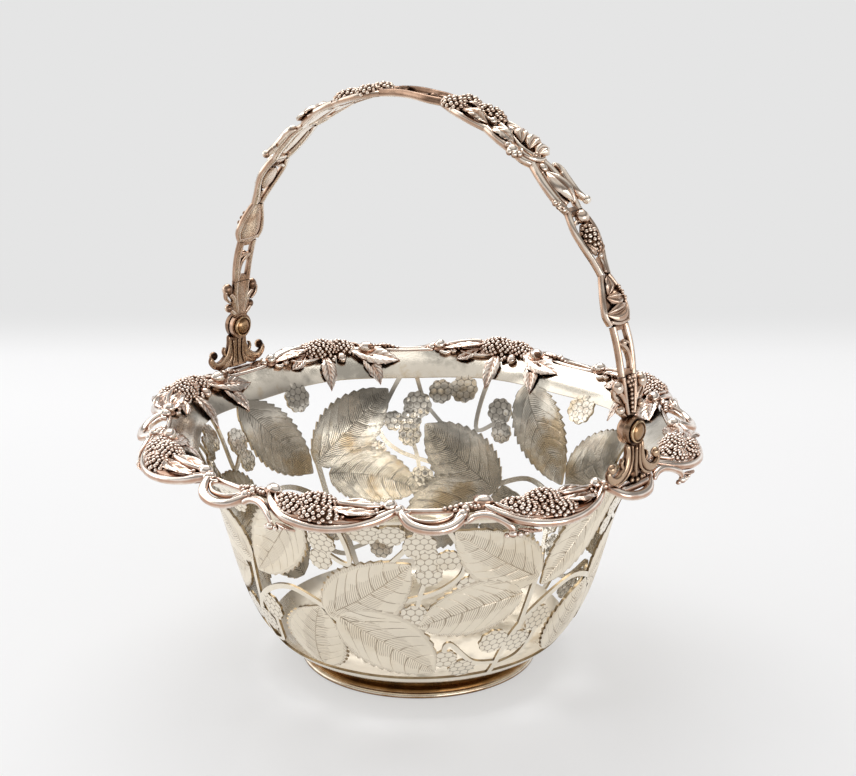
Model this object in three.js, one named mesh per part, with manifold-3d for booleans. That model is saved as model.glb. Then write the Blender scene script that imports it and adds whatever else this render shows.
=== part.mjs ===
// A silver fruit basket: a round foot, a saw-pierced bowl with bramble leaves and berries,
// a cast border of berry clusters and open scrolls, and a cast bail handle on two rivets.
// Millimetres, +Z up, origin on the table at the middle of the foot. The handle stands in the XZ plane.

import * as THREE from 'three';
import { mergeVertices } from 'three/addons/utils/BufferGeometryUtils.js';
import Module from 'manifold-3d';

const wasm = await Module();
wasm.setup();

// Clearances
const solderGap = 0.3;
const rivetClearance = 0.3;

// Foot ring
const footRadius = 57;
const footHeight = 9;
const footNeckRadius = 50.5;
const footWall = 3.2;
const footBeadHeight = 3;

// Bowl: stations of its outer profile, as radius and height above the foot's seat
const sheet = 1.2;
const baseRadius = 51;
const heelRadius = 68;
const heelRise = 4.7;
const bellyRadius = 83;
const bellyRise = 28.7;
const shoulderRadius = 96.5;
const shoulderRise = 75.7;
const neckRadius = 106;
const neckRise = 95.7;
const lipRadius = 119;
const lipRise = 105.7;
const lobeCount = 8;
const lobeDepth = 2.4;
const plainBaseHeight = 27;
const plainLipHeight = 16.5;
const quarterCount = 4;
const fullTurn = 360;

// Border
const linkHalfAngle = 7;
const linkHalfWidth = 6.1;
const linkLift = 0.4;
const borderTopRise = 12.5;
const borderReach = 13;
const wireRadius = 1.9;
const dropThickness = 1.6;
const dropStandoff = 0.9;

// Hinge and rivets
const pivotRise = 25;
const bracketThickness = 2.6;
const rivetRadius = 2;
const rivetHeadRadius = 5;
const rivetHeadHeight = 2.2;
const eyeRadius = 6.6;
const bracketHalfWidth = 18;

// Bail
const bailRise = 130.8;
const bailPower = 2.05;
const bailThickness = 2.8;

// The pattern of one quarter of the wall. turn is degrees round from the quarter's start, up is mm up
// the wall from the base's edge, and lean is the leaf tip's direction in degrees from level.
const wallLeaves = [
  { turn: 0, up: 96, length: 58, width: 30, lean: 231 },
  { turn: 27.4, up: 77, length: 52, width: 34, lean: 38 },
  { turn: 64.5, up: 95, length: 56, width: 31, lean: 143 },
  { turn: 57.5, up: 65, length: 50, width: 29, lean: 195 },
  { turn: 9, up: 45, length: 41, width: 33, lean: 76 },
  { turn: 33, up: 45, length: 54, width: 36, lean: -38 },
];

const wallBerries = [
  { turn: 17, up: 102, radius: 6 },
  { turn: 29, up: 112, radius: 6.5 },
  { turn: 42.3, up: 102, radius: 6 },
  { turn: 45, up: 87.5, radius: 5.5 },
  { turn: 41.2, up: 64, radius: 6.5 },
  { turn: 79.5, up: 113, radius: 7.5 },
  { turn: 66, up: 46, radius: 6.5 },
  { turn: 50.5, up: 38, radius: 5.5 },
  { turn: 57, up: 30, radius: 6 },
  { turn: 81, up: 54, radius: 6.5 },
  { turn: 75, up: 43, radius: 6 },
];

const wallStems = [
  { width: 3.4, points: [[69, 24], [71, 45], [80, 68], [93, 75], [108, 62]] },
  { width: 2.6, points: [[75, 59], [77, 80]] },
  { width: 2.4, points: [[69, 31], [60, 34.5], [51.5, 48], [50, 38]] },
  { width: 2.2, points: [[69, 28], [78, 33], [81.5, 50]] },
  { width: 2.4, points: [[36, 72], [49, 79.5], [54.5, 93], [47, 120]] },
  { width: 2, points: [[41.5, 60], [42.5, 75], [45, 88]] },
  { width: 2, points: [[17, 97], [24, 92], [22, 120]] },
  { width: 2, points: [[33, 90], [40, 104], [43, 120]] },
];

const silver = { color: 0xd9d6d0, metalness: 0.95, roughness: 0.25 };
const castSilver = { color: 0xc7b5a8, metalness: 0.95, roughness: 0.35 };
const brownedSilver = { color: 0x9c8468, metalness: 0.9, roughness: 0.4 };

const basket = new THREE.Group();
const degrees = Math.PI / 180;

// Bowl profile

const seat = footHeight + solderGap;
const profile = new THREE.SplineCurve([
  new THREE.Vector2(baseRadius, seat),
  new THREE.Vector2(heelRadius, seat + heelRise),
  new THREE.Vector2(bellyRadius, seat + bellyRise),
  new THREE.Vector2(shoulderRadius, seat + shoulderRise),
  new THREE.Vector2(neckRadius, seat + neckRise),
  new THREE.Vector2(lipRadius, seat + lipRise),
]);
profile.arcLengthDivisions = 300;
const wallLength = profile.getLength();
const lipHeight = seat + lipRise;
const pivotHeight = lipHeight + pivotRise;
const linkOffset = solderGap + wireRadius + linkHalfWidth;
const pivotRadius = lipRadius - lobeDepth + linkOffset - bracketThickness / 2 - solderGap / 2;

// The wall is straight between rows at these shares of its length.
const wallRows = [0, 0.11, 0.19, 0.48, 0.8, 1];
const wallPoints = wallRows.map((share) => profile.getPointAt(share));
const wallSlopes = wallRows.map((share) => profile.getTangentAt(share));

// Radius and height on the wall at a distance up it; out is the distance off its outer face.
function wallSection(up, out) {
  const share = THREE.MathUtils.clamp(up / wallLength, 0, 1);
  let i = 1;
  while (wallRows[i] < share) i++;
  const between = (share - wallRows[i - 1]) / (wallRows[i] - wallRows[i - 1]);
  const point = wallPoints[i - 1].clone().lerp(wallPoints[i], between);
  const along = wallSlopes[i - 1].clone().lerp(wallSlopes[i], between);
  const past = up - share * wallLength;
  return [point.x + along.x * past + along.y * out, point.y + along.y * past - along.x * out];
}

// The lip waves gently out at the middle of each border cluster; the wave dies out down the wall.
function lobe(angle, height) {
  const share = THREE.MathUtils.smoothstep(height, seat + shoulderRise * 0.8, lipHeight);
  return -lobeDepth * share * Math.cos(lobeCount * angle);
}

function onWall(turn, up, out) {
  const [radius, height] = wallSection(up, out);
  const angle = turn * degrees;
  const reach = radius + lobe(angle, height);
  return [reach * Math.cos(angle), reach * Math.sin(angle), height];
}

// Solids

function solidOf(geometry) {
  const bare = geometry.clone();
  bare.deleteAttribute('normal');
  bare.deleteAttribute('uv');
  const merged = mergeVertices(bare, 1e-3);
  const index = Array.from(merged.index.array);
  const corners = [];
  for (let i = 0; i < index.length; i += 3) {
    const [a, b, c] = index.slice(i, i + 3);
    if (a !== b && b !== c && c !== a) corners.push(a, b, c);
  }
  return new wasm.Manifold(new wasm.Mesh({
    numProp: 3,
    vertProperties: new Float32Array(merged.attributes.position.array),
    triVerts: new Uint32Array(corners),
  }));
}

function geometryOf(solid) {
  const mesh = solid.getMesh();
  const geometry = new THREE.BufferGeometry();
  geometry.setAttribute('position', new THREE.BufferAttribute(new Float32Array(mesh.vertProperties), 3));
  geometry.setIndex(new THREE.BufferAttribute(new Uint32Array(mesh.triVerts), 1));
  geometry.computeVertexNormals();
  return geometry;
}

function fuse(solids) {
  return solids.reduce((sum, next) => sum.add(next));
}

// Moves every vertex of a geometry by a rule from [x, y, z] to [x, y, z].
function bend(geometry, rule) {
  const position = geometry.attributes.position;
  for (let i = 0; i < position.count; i++) {
    position.setXYZ(i, ...rule([position.getX(i), position.getY(i), position.getZ(i)]));
  }
  return geometry;
}

function addPart(name, solid, finish, turn = 0) {
  const mesh = new THREE.Mesh(geometryOf(solid), new THREE.MeshStandardMaterial(finish));
  mesh.name = name;
  mesh.rotation.z = turn * degrees;
  basket.add(mesh);
}

// Turns a closed outline of [radius, height] pairs, counter-clockwise, round the Z axis.
function revolve(outline, segments) {
  const points = [...outline, outline[0]].map(([r, z]) => new THREE.Vector2(r, z));
  const geometry = new THREE.LatheGeometry(points, segments);
  return geometry.rotateX(Math.PI / 2);
}

function shapeOf(points) {
  return new THREE.Shape(points.map(([x, y]) => new THREE.Vector2(x, y)));
}

function slab(shape, low, high) {
  const settings = { depth: high - low, bevelEnabled: false, curveSegments: 5 };
  return new THREE.ExtrudeGeometry(shape, settings).translate(0, 0, low);
}

// A tube of a few sides along a smooth curve through the points.
function tube(points, radius, steps, sides = 6) {
  const path = new THREE.CatmullRomCurve3(points.map((p) => new THREE.Vector3(...p)));
  const section = shapeOf(ring(sides, radius, radius));
  return new THREE.ExtrudeGeometry(section, { steps, extrudePath: path, bevelEnabled: false });
}

function ring(count, width, height, start = 0) {
  const points = [];
  for (let i = 0; i < count; i++) {
    const angle = start + (i * 2 * Math.PI) / count;
    points.push([width * Math.cos(angle), height * Math.sin(angle)]);
  }
  return points;
}

// Foot ring: a flat rest, a round bead, a deep cove and a reeded neck under the bowl.

const footSegments = 28;
const restWidth = 3.5;

function makeFoot() {
  const inside = footNeckRadius - footWall;
  const outline = [
    [footRadius - restWidth, 0],
    [footRadius - 0.6, 0],
    [footRadius, footBeadHeight * 0.3],
    [footRadius - 0.5, footBeadHeight * 0.85],
    [footRadius - 2.2, footBeadHeight],
    [footNeckRadius + 1, footHeight * 0.52],
    [footNeckRadius, footHeight * 0.66],
    [footNeckRadius + 1.2, footHeight * 0.8],
    [footNeckRadius + 1.2, footHeight],
    [inside, footHeight],
    [inside, footHeight * 0.6],
    [footRadius - restWidth, 1.4],
  ];
  addPart('foot_ring', solidOf(revolve(outline, footSegments)), brownedSilver);
}

// Bowl

const wallSegments = lobeCount * 4;
const cutterSegments = 28;
const sawDepth = 10;

// The bowl's whole sheet before it is pierced, from the middle of its base to the lip.
function bowlSheet() {
  const outer = [];
  const inner = [];
  for (const share of wallRows) {
    outer.push(wallSection(wallLength * share, 0));
    inner.push(wallSection(wallLength * share, -sheet));
  }
  const base = [[0, seat], ...outer];
  const inside = [...inner.reverse(), [0, seat + sheet]];
  const points = [...base, ...inside].map(([r, z]) => new THREE.Vector2(r, z));
  const geometry = new THREE.LatheGeometry(points, wallSegments).rotateX(Math.PI / 2);
  return solidOf(bend(geometry, ([x, y, z]) => {
    const radius = Math.hypot(x, y);
    const angle = Math.atan2(y, x);
    const scale = radius > 1 ? (radius + lobe(angle, z)) / radius : 1;
    return [x * scale, y * scale, z];
  }));
}

// A leaf's outline about its middle, tip at +X: ovate, with coarse teeth.
function leafOutline(length, width, teeth) {
  const points = [];
  const count = teeth * 2;
  for (const side of [1, -1]) {
    for (let i = 0; i < count; i++) {
      const share = side > 0 ? i / count : 1 - i / count;
      const swell = Math.sin(Math.PI * Math.pow(share, 0.8));
      const tooth = i % 2 === 1 ? 1 : 0.92;
      points.push([(share - 0.5) * length, (side * swell * tooth * width) / 2]);
    }
  }
  return points.reverse();
}

function placed(points, lean) {
  const c = Math.cos(lean * degrees);
  const s = Math.sin(lean * degrees);
  return points.map(([x, y]) => [x * c - y * s, x * s + y * c]);
}

// Wraps a flat outline, drawn in mm about a point of the wall, on to the wall as a thick cutter.
function wrapped(points, turn, up, low, high) {
  const [radius] = wallSection(up, 0);
  return solidOf(bend(slab(shapeOf(points), low, high), ([x, y, z]) => (
    onWall(turn + x / radius / degrees, up + y, z)
  )));
}

// Keeps what lies behind a flat outline, drawn in mm about a point of the wall: a straight cutter square
// to the wall at the middle of the outline, so that the saw's edges stay flat.
function sawn(points, turn, up) {
  const [radius] = wallSection(up, 0);
  const onSurface = points.map(([x, y]) => (
    new THREE.Vector3(...onWall(turn + x / radius / degrees, up + y, 0))
  ));
  const total = onSurface.reduce((sum, point) => sum.add(point), new THREE.Vector3());
  const middle = total.divideScalar(points.length);
  const angle = Math.atan2(middle.y, middle.x);
  const [low, high] = [wallSection(up - 5, 0), wallSection(up + 5, 0)];
  const slope = Math.atan2(high[1] - low[1], high[0] - low[0]);
  const round = new THREE.Vector3(-Math.sin(angle), Math.cos(angle), 0);
  const level = Math.cos(slope);
  const rise = new THREE.Vector3(Math.cos(angle) * level, Math.sin(angle) * level, Math.sin(slope));
  const out = round.clone().cross(rise);
  const flat = onSurface.map((point) => {
    const offset = point.clone().sub(middle);
    return [offset.dot(round), offset.dot(rise)];
  });
  const cutter = slab(shapeOf(flat), -sawDepth, sawDepth);
  const place = new THREE.Matrix4().makeBasis(round, rise, out).setPosition(middle);
  return solidOf(cutter.applyMatrix4(place));
}

// A stem of even width along a smooth curve over the wall, as an outline about its first point.
function stemOutline(points, width, steps) {
  const [[turn, up]] = points;
  const [radius] = wallSection(up, 0);
  const curve = new THREE.SplineCurve(points.map(([t, u]) => (
    new THREE.Vector2((t - turn) * degrees * radius, u - up)
  )));
  const left = [];
  const right = [];
  for (let i = 0; i <= steps; i++) {
    const point = curve.getPoint(i / steps);
    const along = curve.getTangent(i / steps);
    left.push([point.x - (along.y * width) / 2, point.y + (along.x * width) / 2]);
    right.unshift([point.x + (along.y * width) / 2, point.y - (along.x * width) / 2]);
  }
  return [...right, ...left].reverse();
}

// The pattern is drawn for a pierced band that starts and ends here, and grows with the real one.
const drawnBase = 27;
const drawnTop = 117.7;
const patternScale = (wallLength - plainLipHeight - plainBaseHeight) / (drawnTop - drawnBase);

// The distance up the wall of a distance up the drawn pattern.
function patternUp(up) {
  return plainBaseHeight + (up - drawnBase) * patternScale;
}

function makeBowl() {
  const cut = 7;
  const base = revolve([[0, seat - cut], [wallSection(plainBaseHeight, cut)[0], seat - cut],
    wallSection(plainBaseHeight, cut), wallSection(plainBaseHeight, -cut),
    [0, wallSection(plainBaseHeight, -cut)[1]]], cutterSegments);
  const lipStart = wallLength - plainLipHeight;
  const band = revolve([wallSection(lipStart, cut), wallSection(wallLength + cut, cut),
    wallSection(wallLength + cut, -cut), wallSection(lipStart, -cut)], cutterSegments);
  const motifs = [];
  const repeat = (outline, turn, up) => {
    for (let q = 0; q < quarterCount; q++) {
      motifs.push(sawn(outline, turn + (q * fullTurn) / quarterCount, up));
    }
  };
  for (const { turn, up, length, width, lean } of wallLeaves) {
    const outline = placed(leafOutline(length * patternScale, width * patternScale, 2), lean);
    repeat(outline, turn, patternUp(up));
  }
  for (const { turn, up, radius } of wallBerries) {
    repeat(ring(6, radius * patternScale, radius * patternScale), turn, patternUp(up));
  }
  for (const { width, points } of wallStems) {
    const line = points.map(([turn, up]) => [turn, patternUp(up)]);
    repeat(stemOutline(line, width, points.length - 1 + (points.length % 2)), ...line[0]);
  }
  const keep = fuse([solidOf(base), solidOf(band), ...motifs]);
  addPart('pierced_bowl', bowlSheet().intersect(keep), silver);
}

// Border: eight castings of berries, leaves and a bold outer scroll, with an open oval link between
// each pair. In their own frame x runs clockwise round the rim, y outwards and z up from the lip's edge.

const clusterAt = fullTurn / lobeCount / 2;
const clusterHalfAngle = clusterAt - linkHalfAngle;
const jointHalfAngle = solderGap / lipRadius / degrees;

// A wedge of the border that a casting has to stay inside, so that neighbours keep the solder gap.
function wedge(middle, halfAngle) {
  const reach = lipRadius + borderReach * 2;
  const half = (halfAngle - jointHalfAngle / 2) * degrees;
  const shape = shapeOf([[0, 0], [reach, -Math.tan(half) * reach], [reach, Math.tan(half) * reach]]);
  const geometry = slab(shape, seat + neckRise * 0.8, lipHeight + borderTopRise * 3);
  return solidOf(geometry.rotateZ(middle * degrees));
}

// Turns a piece made in the rim's frame to its place, following the lip's waving edge.
function atRim(geometry, turn) {
  return bend(geometry, ([x, y, z]) => {
    const angle = turn * degrees - x / lipRadius;
    const reach = lipRadius + lobe(angle, lipHeight) + y;
    return [reach * Math.cos(angle), reach * Math.sin(angle), lipHeight + z];
  });
}

// Three pointed leaves side by side that hang over the inner face of the lip, as one outline.
function leafDrops(spread, width) {
  const points = [[spread + width / 2, 7]];
  for (const [offset, length, lean] of [[1, 21, 20], [0, 24, 0], [-1, 21, -20]]) {
    const drop = placed([[width * 0.45, -length * 0.4], [0, -length], [-width * 0.45, -length * 0.4],
      [-width * 0.35, -length * 0.1]], lean);
    points.push(...drop.map(([x, y]) => [x + offset * spread, y]));
  }
  return [...points, [-spread - width / 2, 7]].reverse();
}

// A low dome with a flat underside, longer round the rim than across it.
function dome(x, y, halfLength, halfWidth, low, high) {
  const rise = high - low;
  const line = [[0, 0], [1, 0], [0.82, 0.66], [0, 1]].map(([r, z]) => new THREE.Vector2(r, z * rise));
  const geometry = new THREE.LatheGeometry(line, 6).rotateX(Math.PI / 2);
  return geometry.scale(halfLength, halfWidth, 1).translate(x, y, low);
}

// One copy of a border casting for each lobe.
function roundTheRim(name, casting) {
  for (let i = 0; i < lobeCount; i++) {
    addPart(`${name}_${i + 1}`, casting, castSilver, (i * fullTurn) / lobeCount);
  }
}

function makeClusters() {
  const half = clusterHalfAngle * degrees * lipRadius;
  const outer = borderReach - wireRadius;
  const turn = clusterAt;
  const low = sheet + solderGap;
  const top = borderTopRise;
  const wire = tube([[-half - 1, 5, 0], [-half * 0.72, outer * 0.6, 0.4], [-half * 0.3, outer * 0.98, 0.5],
    [half * 0.15, outer, 0.5], [half * 0.6, outer * 0.75, 0.4], [half + 1, 5.4, 0]], wireRadius, 6, 4);
  const pieces = [
    wire,
    dome(half * 0.56, 4, half * 0.3, 7.4, low, top - 2.4),
    dome(half * 0.16, 4.4, half * 0.36, 8, low, top),
    dome(-half * 0.42, 4.6, half * 0.44, 6.4, low, top - 5.6),
    dome(-half * 0.84, 4.4, 4.4, 3.8, 0.6, top - 6),
  ].map((geometry) => solidOf(atRim(geometry, turn)));
  const under = -sheet - solderGap - dropStandoff;
  const drops = wrapped(leafDrops(10, 10), turn, wallLength - 3, under - dropThickness, under);
  const casting = fuse([...pieces, drops]).intersect(wedge(turn, clusterHalfAngle));
  roundTheRim('berry_cluster', casting);
}

// An open oval ring of round wire, level, longer round the rim than across it.
function ovalRing(halfLength, halfWidth, wire) {
  const geometry = new THREE.TorusGeometry(1, 0.25, 5, 12);
  return bend(geometry, ([x, y, z]) => {
    const angle = Math.atan2(y, x);
    const off = ((Math.hypot(x, y) - 1) / 0.25) * wire;
    return [(halfLength + off) * Math.cos(angle), (halfWidth + off) * Math.sin(angle), (z / 0.25) * wire];
  });
}

function makeLinks() {
  const half = (linkHalfAngle - jointHalfAngle) * degrees * lipRadius;
  const oval = ovalRing(half - wireRadius, linkHalfWidth, wireRadius);
  const casting = solidOf(atRim(oval.translate(0, linkOffset, linkLift), 0));
  roundTheRim('scroll_link', casting);
}

// Hinges: an upright cast bracket stands on the link outside each handle end, its curled ears clear of
// the clusters beside it. A rivet with two domed heads joins it to the handle's eye.

const eyeHole = rivetRadius + rivetClearance;
const handleOutside = pivotRadius - solderGap / 2;
const bracketInside = pivotRadius + solderGap / 2;

// Turns a flat outline drawn across (x) and up (y) to stand square to the X axis, from x0 to x1.
function upright(shape, x0, x1) {
  return slab(shape, x0, x1).rotateX(Math.PI / 2).rotateZ(Math.PI / 2);
}

function holeIn(shape, x, y, radius) {
  const rim = ring(10, radius, radius).map(([a, b]) => new THREE.Vector2(x + a, y + b));
  shape.holes.push(new THREE.Path(rim));
  return shape;
}

function makeHinges() {
  const foot = lipHeight + linkLift + wireRadius + solderGap;
  const rise = pivotHeight - foot;
  const w = bracketHalfWidth;
  const side = [[5.2, rise - 5], [5.6, rise * 0.55], [w * 0.5, rise * 0.32], [w * 0.78, 4.5], [w * 0.86, 9],
    [w, 10], [w + 1.5, 6.5], [w - 1, 3], [w * 0.6, 0]];
  const crown = [];
  for (let i = 1; i < 8; i++) {
    const angle = Math.PI * (-0.2 + (1.4 * i) / 8);
    crown.push([eyeRadius * Math.cos(angle), rise + eyeRadius * Math.sin(angle)]);
  }
  const outline = [...[...side].reverse(), ...crown, ...side.map(([x, y]) => [-x, y])];
  const bracketOutside = bracketInside + bracketThickness;
  const plate = upright(holeIn(shapeOf(outline), 0, rise, eyeHole), bracketInside, bracketOutside);
  const bracket = solidOf(plate.translate(0, 0, foot));
  const inner = handleOutside - bailThickness - solderGap;
  const outer = bracketOutside + solderGap;
  const h = rivetHeadHeight;
  const r = rivetHeadRadius;
  const profileLine = [[0, inner - h], [r * 0.6, inner - h * 0.75], [r, inner - h * 0.2], [r, inner],
    [rivetRadius, inner], [rivetRadius, outer], [r, outer], [r, outer + h * 0.2],
    [r * 0.6, outer + h * 0.75], [0, outer + h]];
  const rivet = new THREE.LatheGeometry(profileLine.map(([a, b]) => new THREE.Vector2(a, b)), 8);
  const pin = solidOf(rivet.rotateZ(-Math.PI / 2).translate(0, 0, pivotHeight));
  addPart('hinge_bracket_right', bracket, brownedSilver);
  addPart('hinge_bracket_left', bracket, brownedSilver, 180);
  addPart('rivet_right', pin, silver);
  addPart('rivet_left', pin, silver, 180);
}

// Bail: one arch of cast sections soldered end to end. Along is mm round the arch from the right pivot,
// across is mm towards -Y on the right half, and off is mm outwards from the arch's middle line.

const shieldEnd = 24;
const strutEnd = 46;
const leafEnd = 68;
const berryFrameEnd = 98;
const acanthusEnd = 125;
const scrollworkEnd = 152;
const berryPairEnd = 181;
const halfGap = solderGap / 2;

function archPoint(share) {
  const angle = share * Math.PI;
  const c = Math.cos(angle);
  const s = Math.sin(angle);
  const power = 2 / bailPower;
  const x = handleMiddle * Math.sign(c) * Math.pow(Math.abs(c), power);
  return new THREE.Vector2(x, pivotHeight + bailRise * Math.pow(Math.abs(s), power));
}

const handleMiddle = handleOutside - bailThickness / 2;
const archSteps = 400;
const archPoints = Array.from({ length: archSteps + 1 }, (_, i) => archPoint(i / archSteps));
const archLengths = archPoints.reduce((sums, point, i) => (
  [...sums, i ? sums[i - 1] + point.distanceTo(archPoints[i - 1]) : 0]
), []);
const archLength = archLengths[archSteps];
const archMiddle = archLength / 2;

// The sections are drawn for a half arch that ends centreReach past the berry pair, and stretch from the
// shield's end to fit the real one.
const centreReach = 18.5;
const drawnHalf = berryPairEnd + centreReach;
const stretch = (archMiddle - shieldEnd) / (drawnHalf - shieldEnd);

// The arch's point and outward direction at a drawn distance along it. It runs straight down below the
// pivot.
function archAt(drawn) {
  const along = drawn <= shieldEnd ? drawn : shieldEnd + (drawn - shieldEnd) * stretch;
  if (along <= 0) {
    return { point: new THREE.Vector2(handleMiddle, pivotHeight + along), out: new THREE.Vector2(1, 0) };
  }
  let i = 1;
  while (i < archSteps && archLengths[i] < along) i++;
  const share = (along - archLengths[i - 1]) / (archLengths[i] - archLengths[i - 1]);
  const before = archPoints[Math.max(i - 2, 0)];
  const after = archPoints[Math.min(i + 1, archSteps)];
  const run = after.clone().sub(before).normalize();
  const point = archPoints[i - 1].clone().lerp(archPoints[i], share);
  return { point, out: new THREE.Vector2(run.y, -run.x) };
}

function onArch([along, across, off]) {
  const { point, out } = archAt(along);
  return [point.x + out.x * off, -across, point.y + out.y * off];
}

// A flat section of the bail cut to an outline of [along, across] points, with holes, laid along the arch.
function strap(outline, holes = [], thickness = bailThickness) {
  const shape = shapeOf(outline);
  for (const hole of holes) shape.holes.push(new THREE.Path(hole.map(([x, y]) => new THREE.Vector2(x, y))));
  return solidOf(bend(slab(shape, -thickness / 2, thickness / 2), onArch));
}

// An outline symmetrical about the arch's line from [along, half width] stations, first to last.
function mirrored(stations) {
  return [...stations.map(([x, y]) => [x, -y]), ...[...stations].reverse()];
}

function bump(along, across, halfLength, halfWidth, rise) {
  const line = [[0, 0], [1, 0], [0.82, 0.66], [0, 1]].map(([r, z]) => new THREE.Vector2(r, z * rise));
  const geometry = new THREE.LatheGeometry(line, 8).rotateX(Math.PI / 2).scale(halfLength, halfWidth, 1);
  return solidOf(bend(geometry.translate(along, across, bailThickness / 2 - 0.4), onArch));
}

function bailSections() {
  const disc = strap(ring(14, eyeRadius, eyeRadius), [ring(10, eyeHole, eyeHole)]);
  const shield = strap(mirrored([[4.5, 4.6], [8, 6], [10, 9], [13, 8], [13.5, 5.5], [17, 6.4], [18, 10.5],
    [22, 10.5], [22.6, 6.4], [shieldEnd - halfGap, 5.6]]));
  const sections = { shield: disc.add(shield) };
  sections.strut = strap(
    mirrored([[shieldEnd + halfGap, 5.6], [30, 6], [38, 5.6], [strutEnd - halfGap, 5]]),
    [[[26, -1.2], [31, -3], [36, -2.6], [36, 1.5], [31, 1]], [[38, -2.4], [44, -1], [44, 2.4], [38, 2.2]]],
  );
  sections.leaf = strap(
    mirrored([[strutEnd + halfGap, 4], [49, 7], [54, 8], [60, 6.6], [66, 5], [leafEnd - halfGap, 4]]),
  );
  sections.berry_frame = strap(
    mirrored([[leafEnd + halfGap, 4], [76, 6.4], [84, 8.2], [92, 7.6], [berryFrameEnd - halfGap, 4.5]]),
    [[[71, -1.6], [76, -4], [84, -5.8], [92, -5], [95, -2], [95, 2], [92, 5], [84, 5.8], [76, 4],
      [71, 1.6]]],
  ).add(bump(84, 0, 9, 5, 5)).add(bump(94, 0, 3.6, 3.6, 4.6));
  sections.acanthus = strap(
    [[berryFrameEnd + halfGap, -4.5], [103, -6], [107, -9], [113, -7], [119, -8.5],
      [acanthusEnd - halfGap, -5],
      [acanthusEnd - halfGap, 6], [119, 7], [112, 8.4], [104, 9], [berryFrameEnd + halfGap, 7]],
    [[[101, 5], [107, 6.4], [115, 5.4], [120, 4], [114, 1.5], [105, 1.8]]],
  ).add(bump(112, -3.2, 8, 4, 3.4));
  sections.scrollwork = strap(
    [[acanthusEnd + halfGap, -5], [130, -6], [136, -8.4], [144, -9], [scrollworkEnd - halfGap, -8],
      [scrollworkEnd - halfGap, 9], [149, 9.6], [142, 11], [136, 12], [130, 10.5],
      [acanthusEnd + halfGap, 6]],
    [[[128, 4], [133, 5.5], [138, 2], [133, -2]], [[143, -1], [149, 0], [149, -4.5], [144, -5]]],
  ).add(bump(134, 8.5, 3.4, 3.2, 3)).add(bump(145, 6, 5, 3, 2.6));
  sections.berry_pair = strap(
    mirrored([[scrollworkEnd + halfGap, 8.6], [158, 10], [168, 10.4], [176, 9],
      [berryPairEnd - halfGap, 6.6]]),
  ).add(bump(160.5, -3.8, 8, 5.4, 5)).add(bump(172, -1.6, 8, 5.6, 5.4)).add(bump(163, 6.2, 8, 3.6, 2.6));
  return sections;
}

function makeBail() {
  for (const [name, section] of Object.entries(bailSections())) {
    addPart(`bail_${name}_right`, section, castSilver);
    addPart(`bail_${name}_left`, section, castSilver, 180);
  }
  const reach = centreReach - halfGap;
  const link = [[-reach, -6.4], [-reach * 0.6, -7.4], [0, -7.2], [reach * 0.5, -6], [reach, -5],
    [reach, 6.4],
    [reach * 0.6, 7.4], [0, 7.2], [-reach * 0.5, 6], [-reach, 5]];
  const gap = [[-reach * 0.85, -2], [-reach * 0.5, -4.4], [0, -4.2], [reach * 0.5, -3], [reach * 0.85, 2],
    [reach * 0.5, 4.4], [0, 4.2], [-reach * 0.5, 3]];
  const at = (points) => points.map(([x, y]) => [drawnHalf + x, y]);
  addPart('bail_centre_link', strap(at(link), [at(gap)]), castSilver);
}

makeFoot();
makeBowl();
makeClusters();
makeLinks();
makeHinges();
makeBail();

export default basket;
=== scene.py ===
# A silver fruit basket: an engraved, saw-pierced bowl on a cast foot, a cast border of berries and
# leaves, and an openwork bail handle on two rivets. Shapes are worked out in millimetres.

import math
import bpy
import numpy as np
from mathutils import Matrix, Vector
from mathutils.geometry import delaunay_2d_cdt


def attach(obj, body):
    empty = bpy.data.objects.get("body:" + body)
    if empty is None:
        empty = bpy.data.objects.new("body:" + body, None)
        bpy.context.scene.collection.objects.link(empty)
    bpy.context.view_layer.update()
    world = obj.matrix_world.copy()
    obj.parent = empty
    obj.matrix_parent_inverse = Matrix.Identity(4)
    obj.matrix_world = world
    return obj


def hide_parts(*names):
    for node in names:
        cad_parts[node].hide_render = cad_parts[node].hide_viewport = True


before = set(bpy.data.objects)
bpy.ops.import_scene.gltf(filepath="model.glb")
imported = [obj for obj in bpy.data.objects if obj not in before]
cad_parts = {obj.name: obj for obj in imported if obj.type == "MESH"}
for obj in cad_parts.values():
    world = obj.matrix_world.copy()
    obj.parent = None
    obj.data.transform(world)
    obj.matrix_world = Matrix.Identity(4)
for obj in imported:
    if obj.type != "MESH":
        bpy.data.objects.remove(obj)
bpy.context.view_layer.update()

milli = 0.001
print("frame loaded:", len(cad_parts), "nodes")

# Curves and surfaces


def smoothCurve(points, count):
    # each span is a cubic whose slope at a point is half the step between that point's neighbours
    p = np.asarray(points, float)
    p = np.vstack([p[:1], p, p[-1:]])
    t = np.linspace(0, len(points) - 1, count)
    i = np.minimum(t.astype(int), len(points) - 2)
    f = (t - i)[:, None]
    a, b, c, d = p[i], p[i + 1], p[i + 2], p[i + 3]
    return b + 0.5 * f * (c - a + f * (2 * a - 5 * b + 4 * c - d + f * (3 * (b - c) + d - a)))


def evenCurve(points, count):
    # the same curve with its points at equal distances along it
    fine = smoothCurve(points, 300)
    run = np.concatenate([[0], np.cumsum(np.linalg.norm(np.diff(fine, axis=0), axis=1))])
    at = np.linspace(0, run[-1], count)
    return np.stack([np.interp(at, run, fine[:, k]) for k in range(fine.shape[1])], 1)


def spread(values, count):
    # a few values stretched evenly over count stations
    values = np.atleast_1d(np.asarray(values, float))
    return np.interp(np.linspace(0, 1, count), np.linspace(0, 1, len(values)), values)


def easeStep(low, high, x):
    t = np.clip((x - low) / (high - low), 0, 1)
    return t * t * (3 - 2 * t)


def unit(v):
    return v / np.maximum(np.linalg.norm(v, axis=-1, keepdims=True), 1e-9)


def around(count):
    # equal angles round a full turn
    return np.linspace(0, 2 * np.pi, count, endpoint=False)


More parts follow.
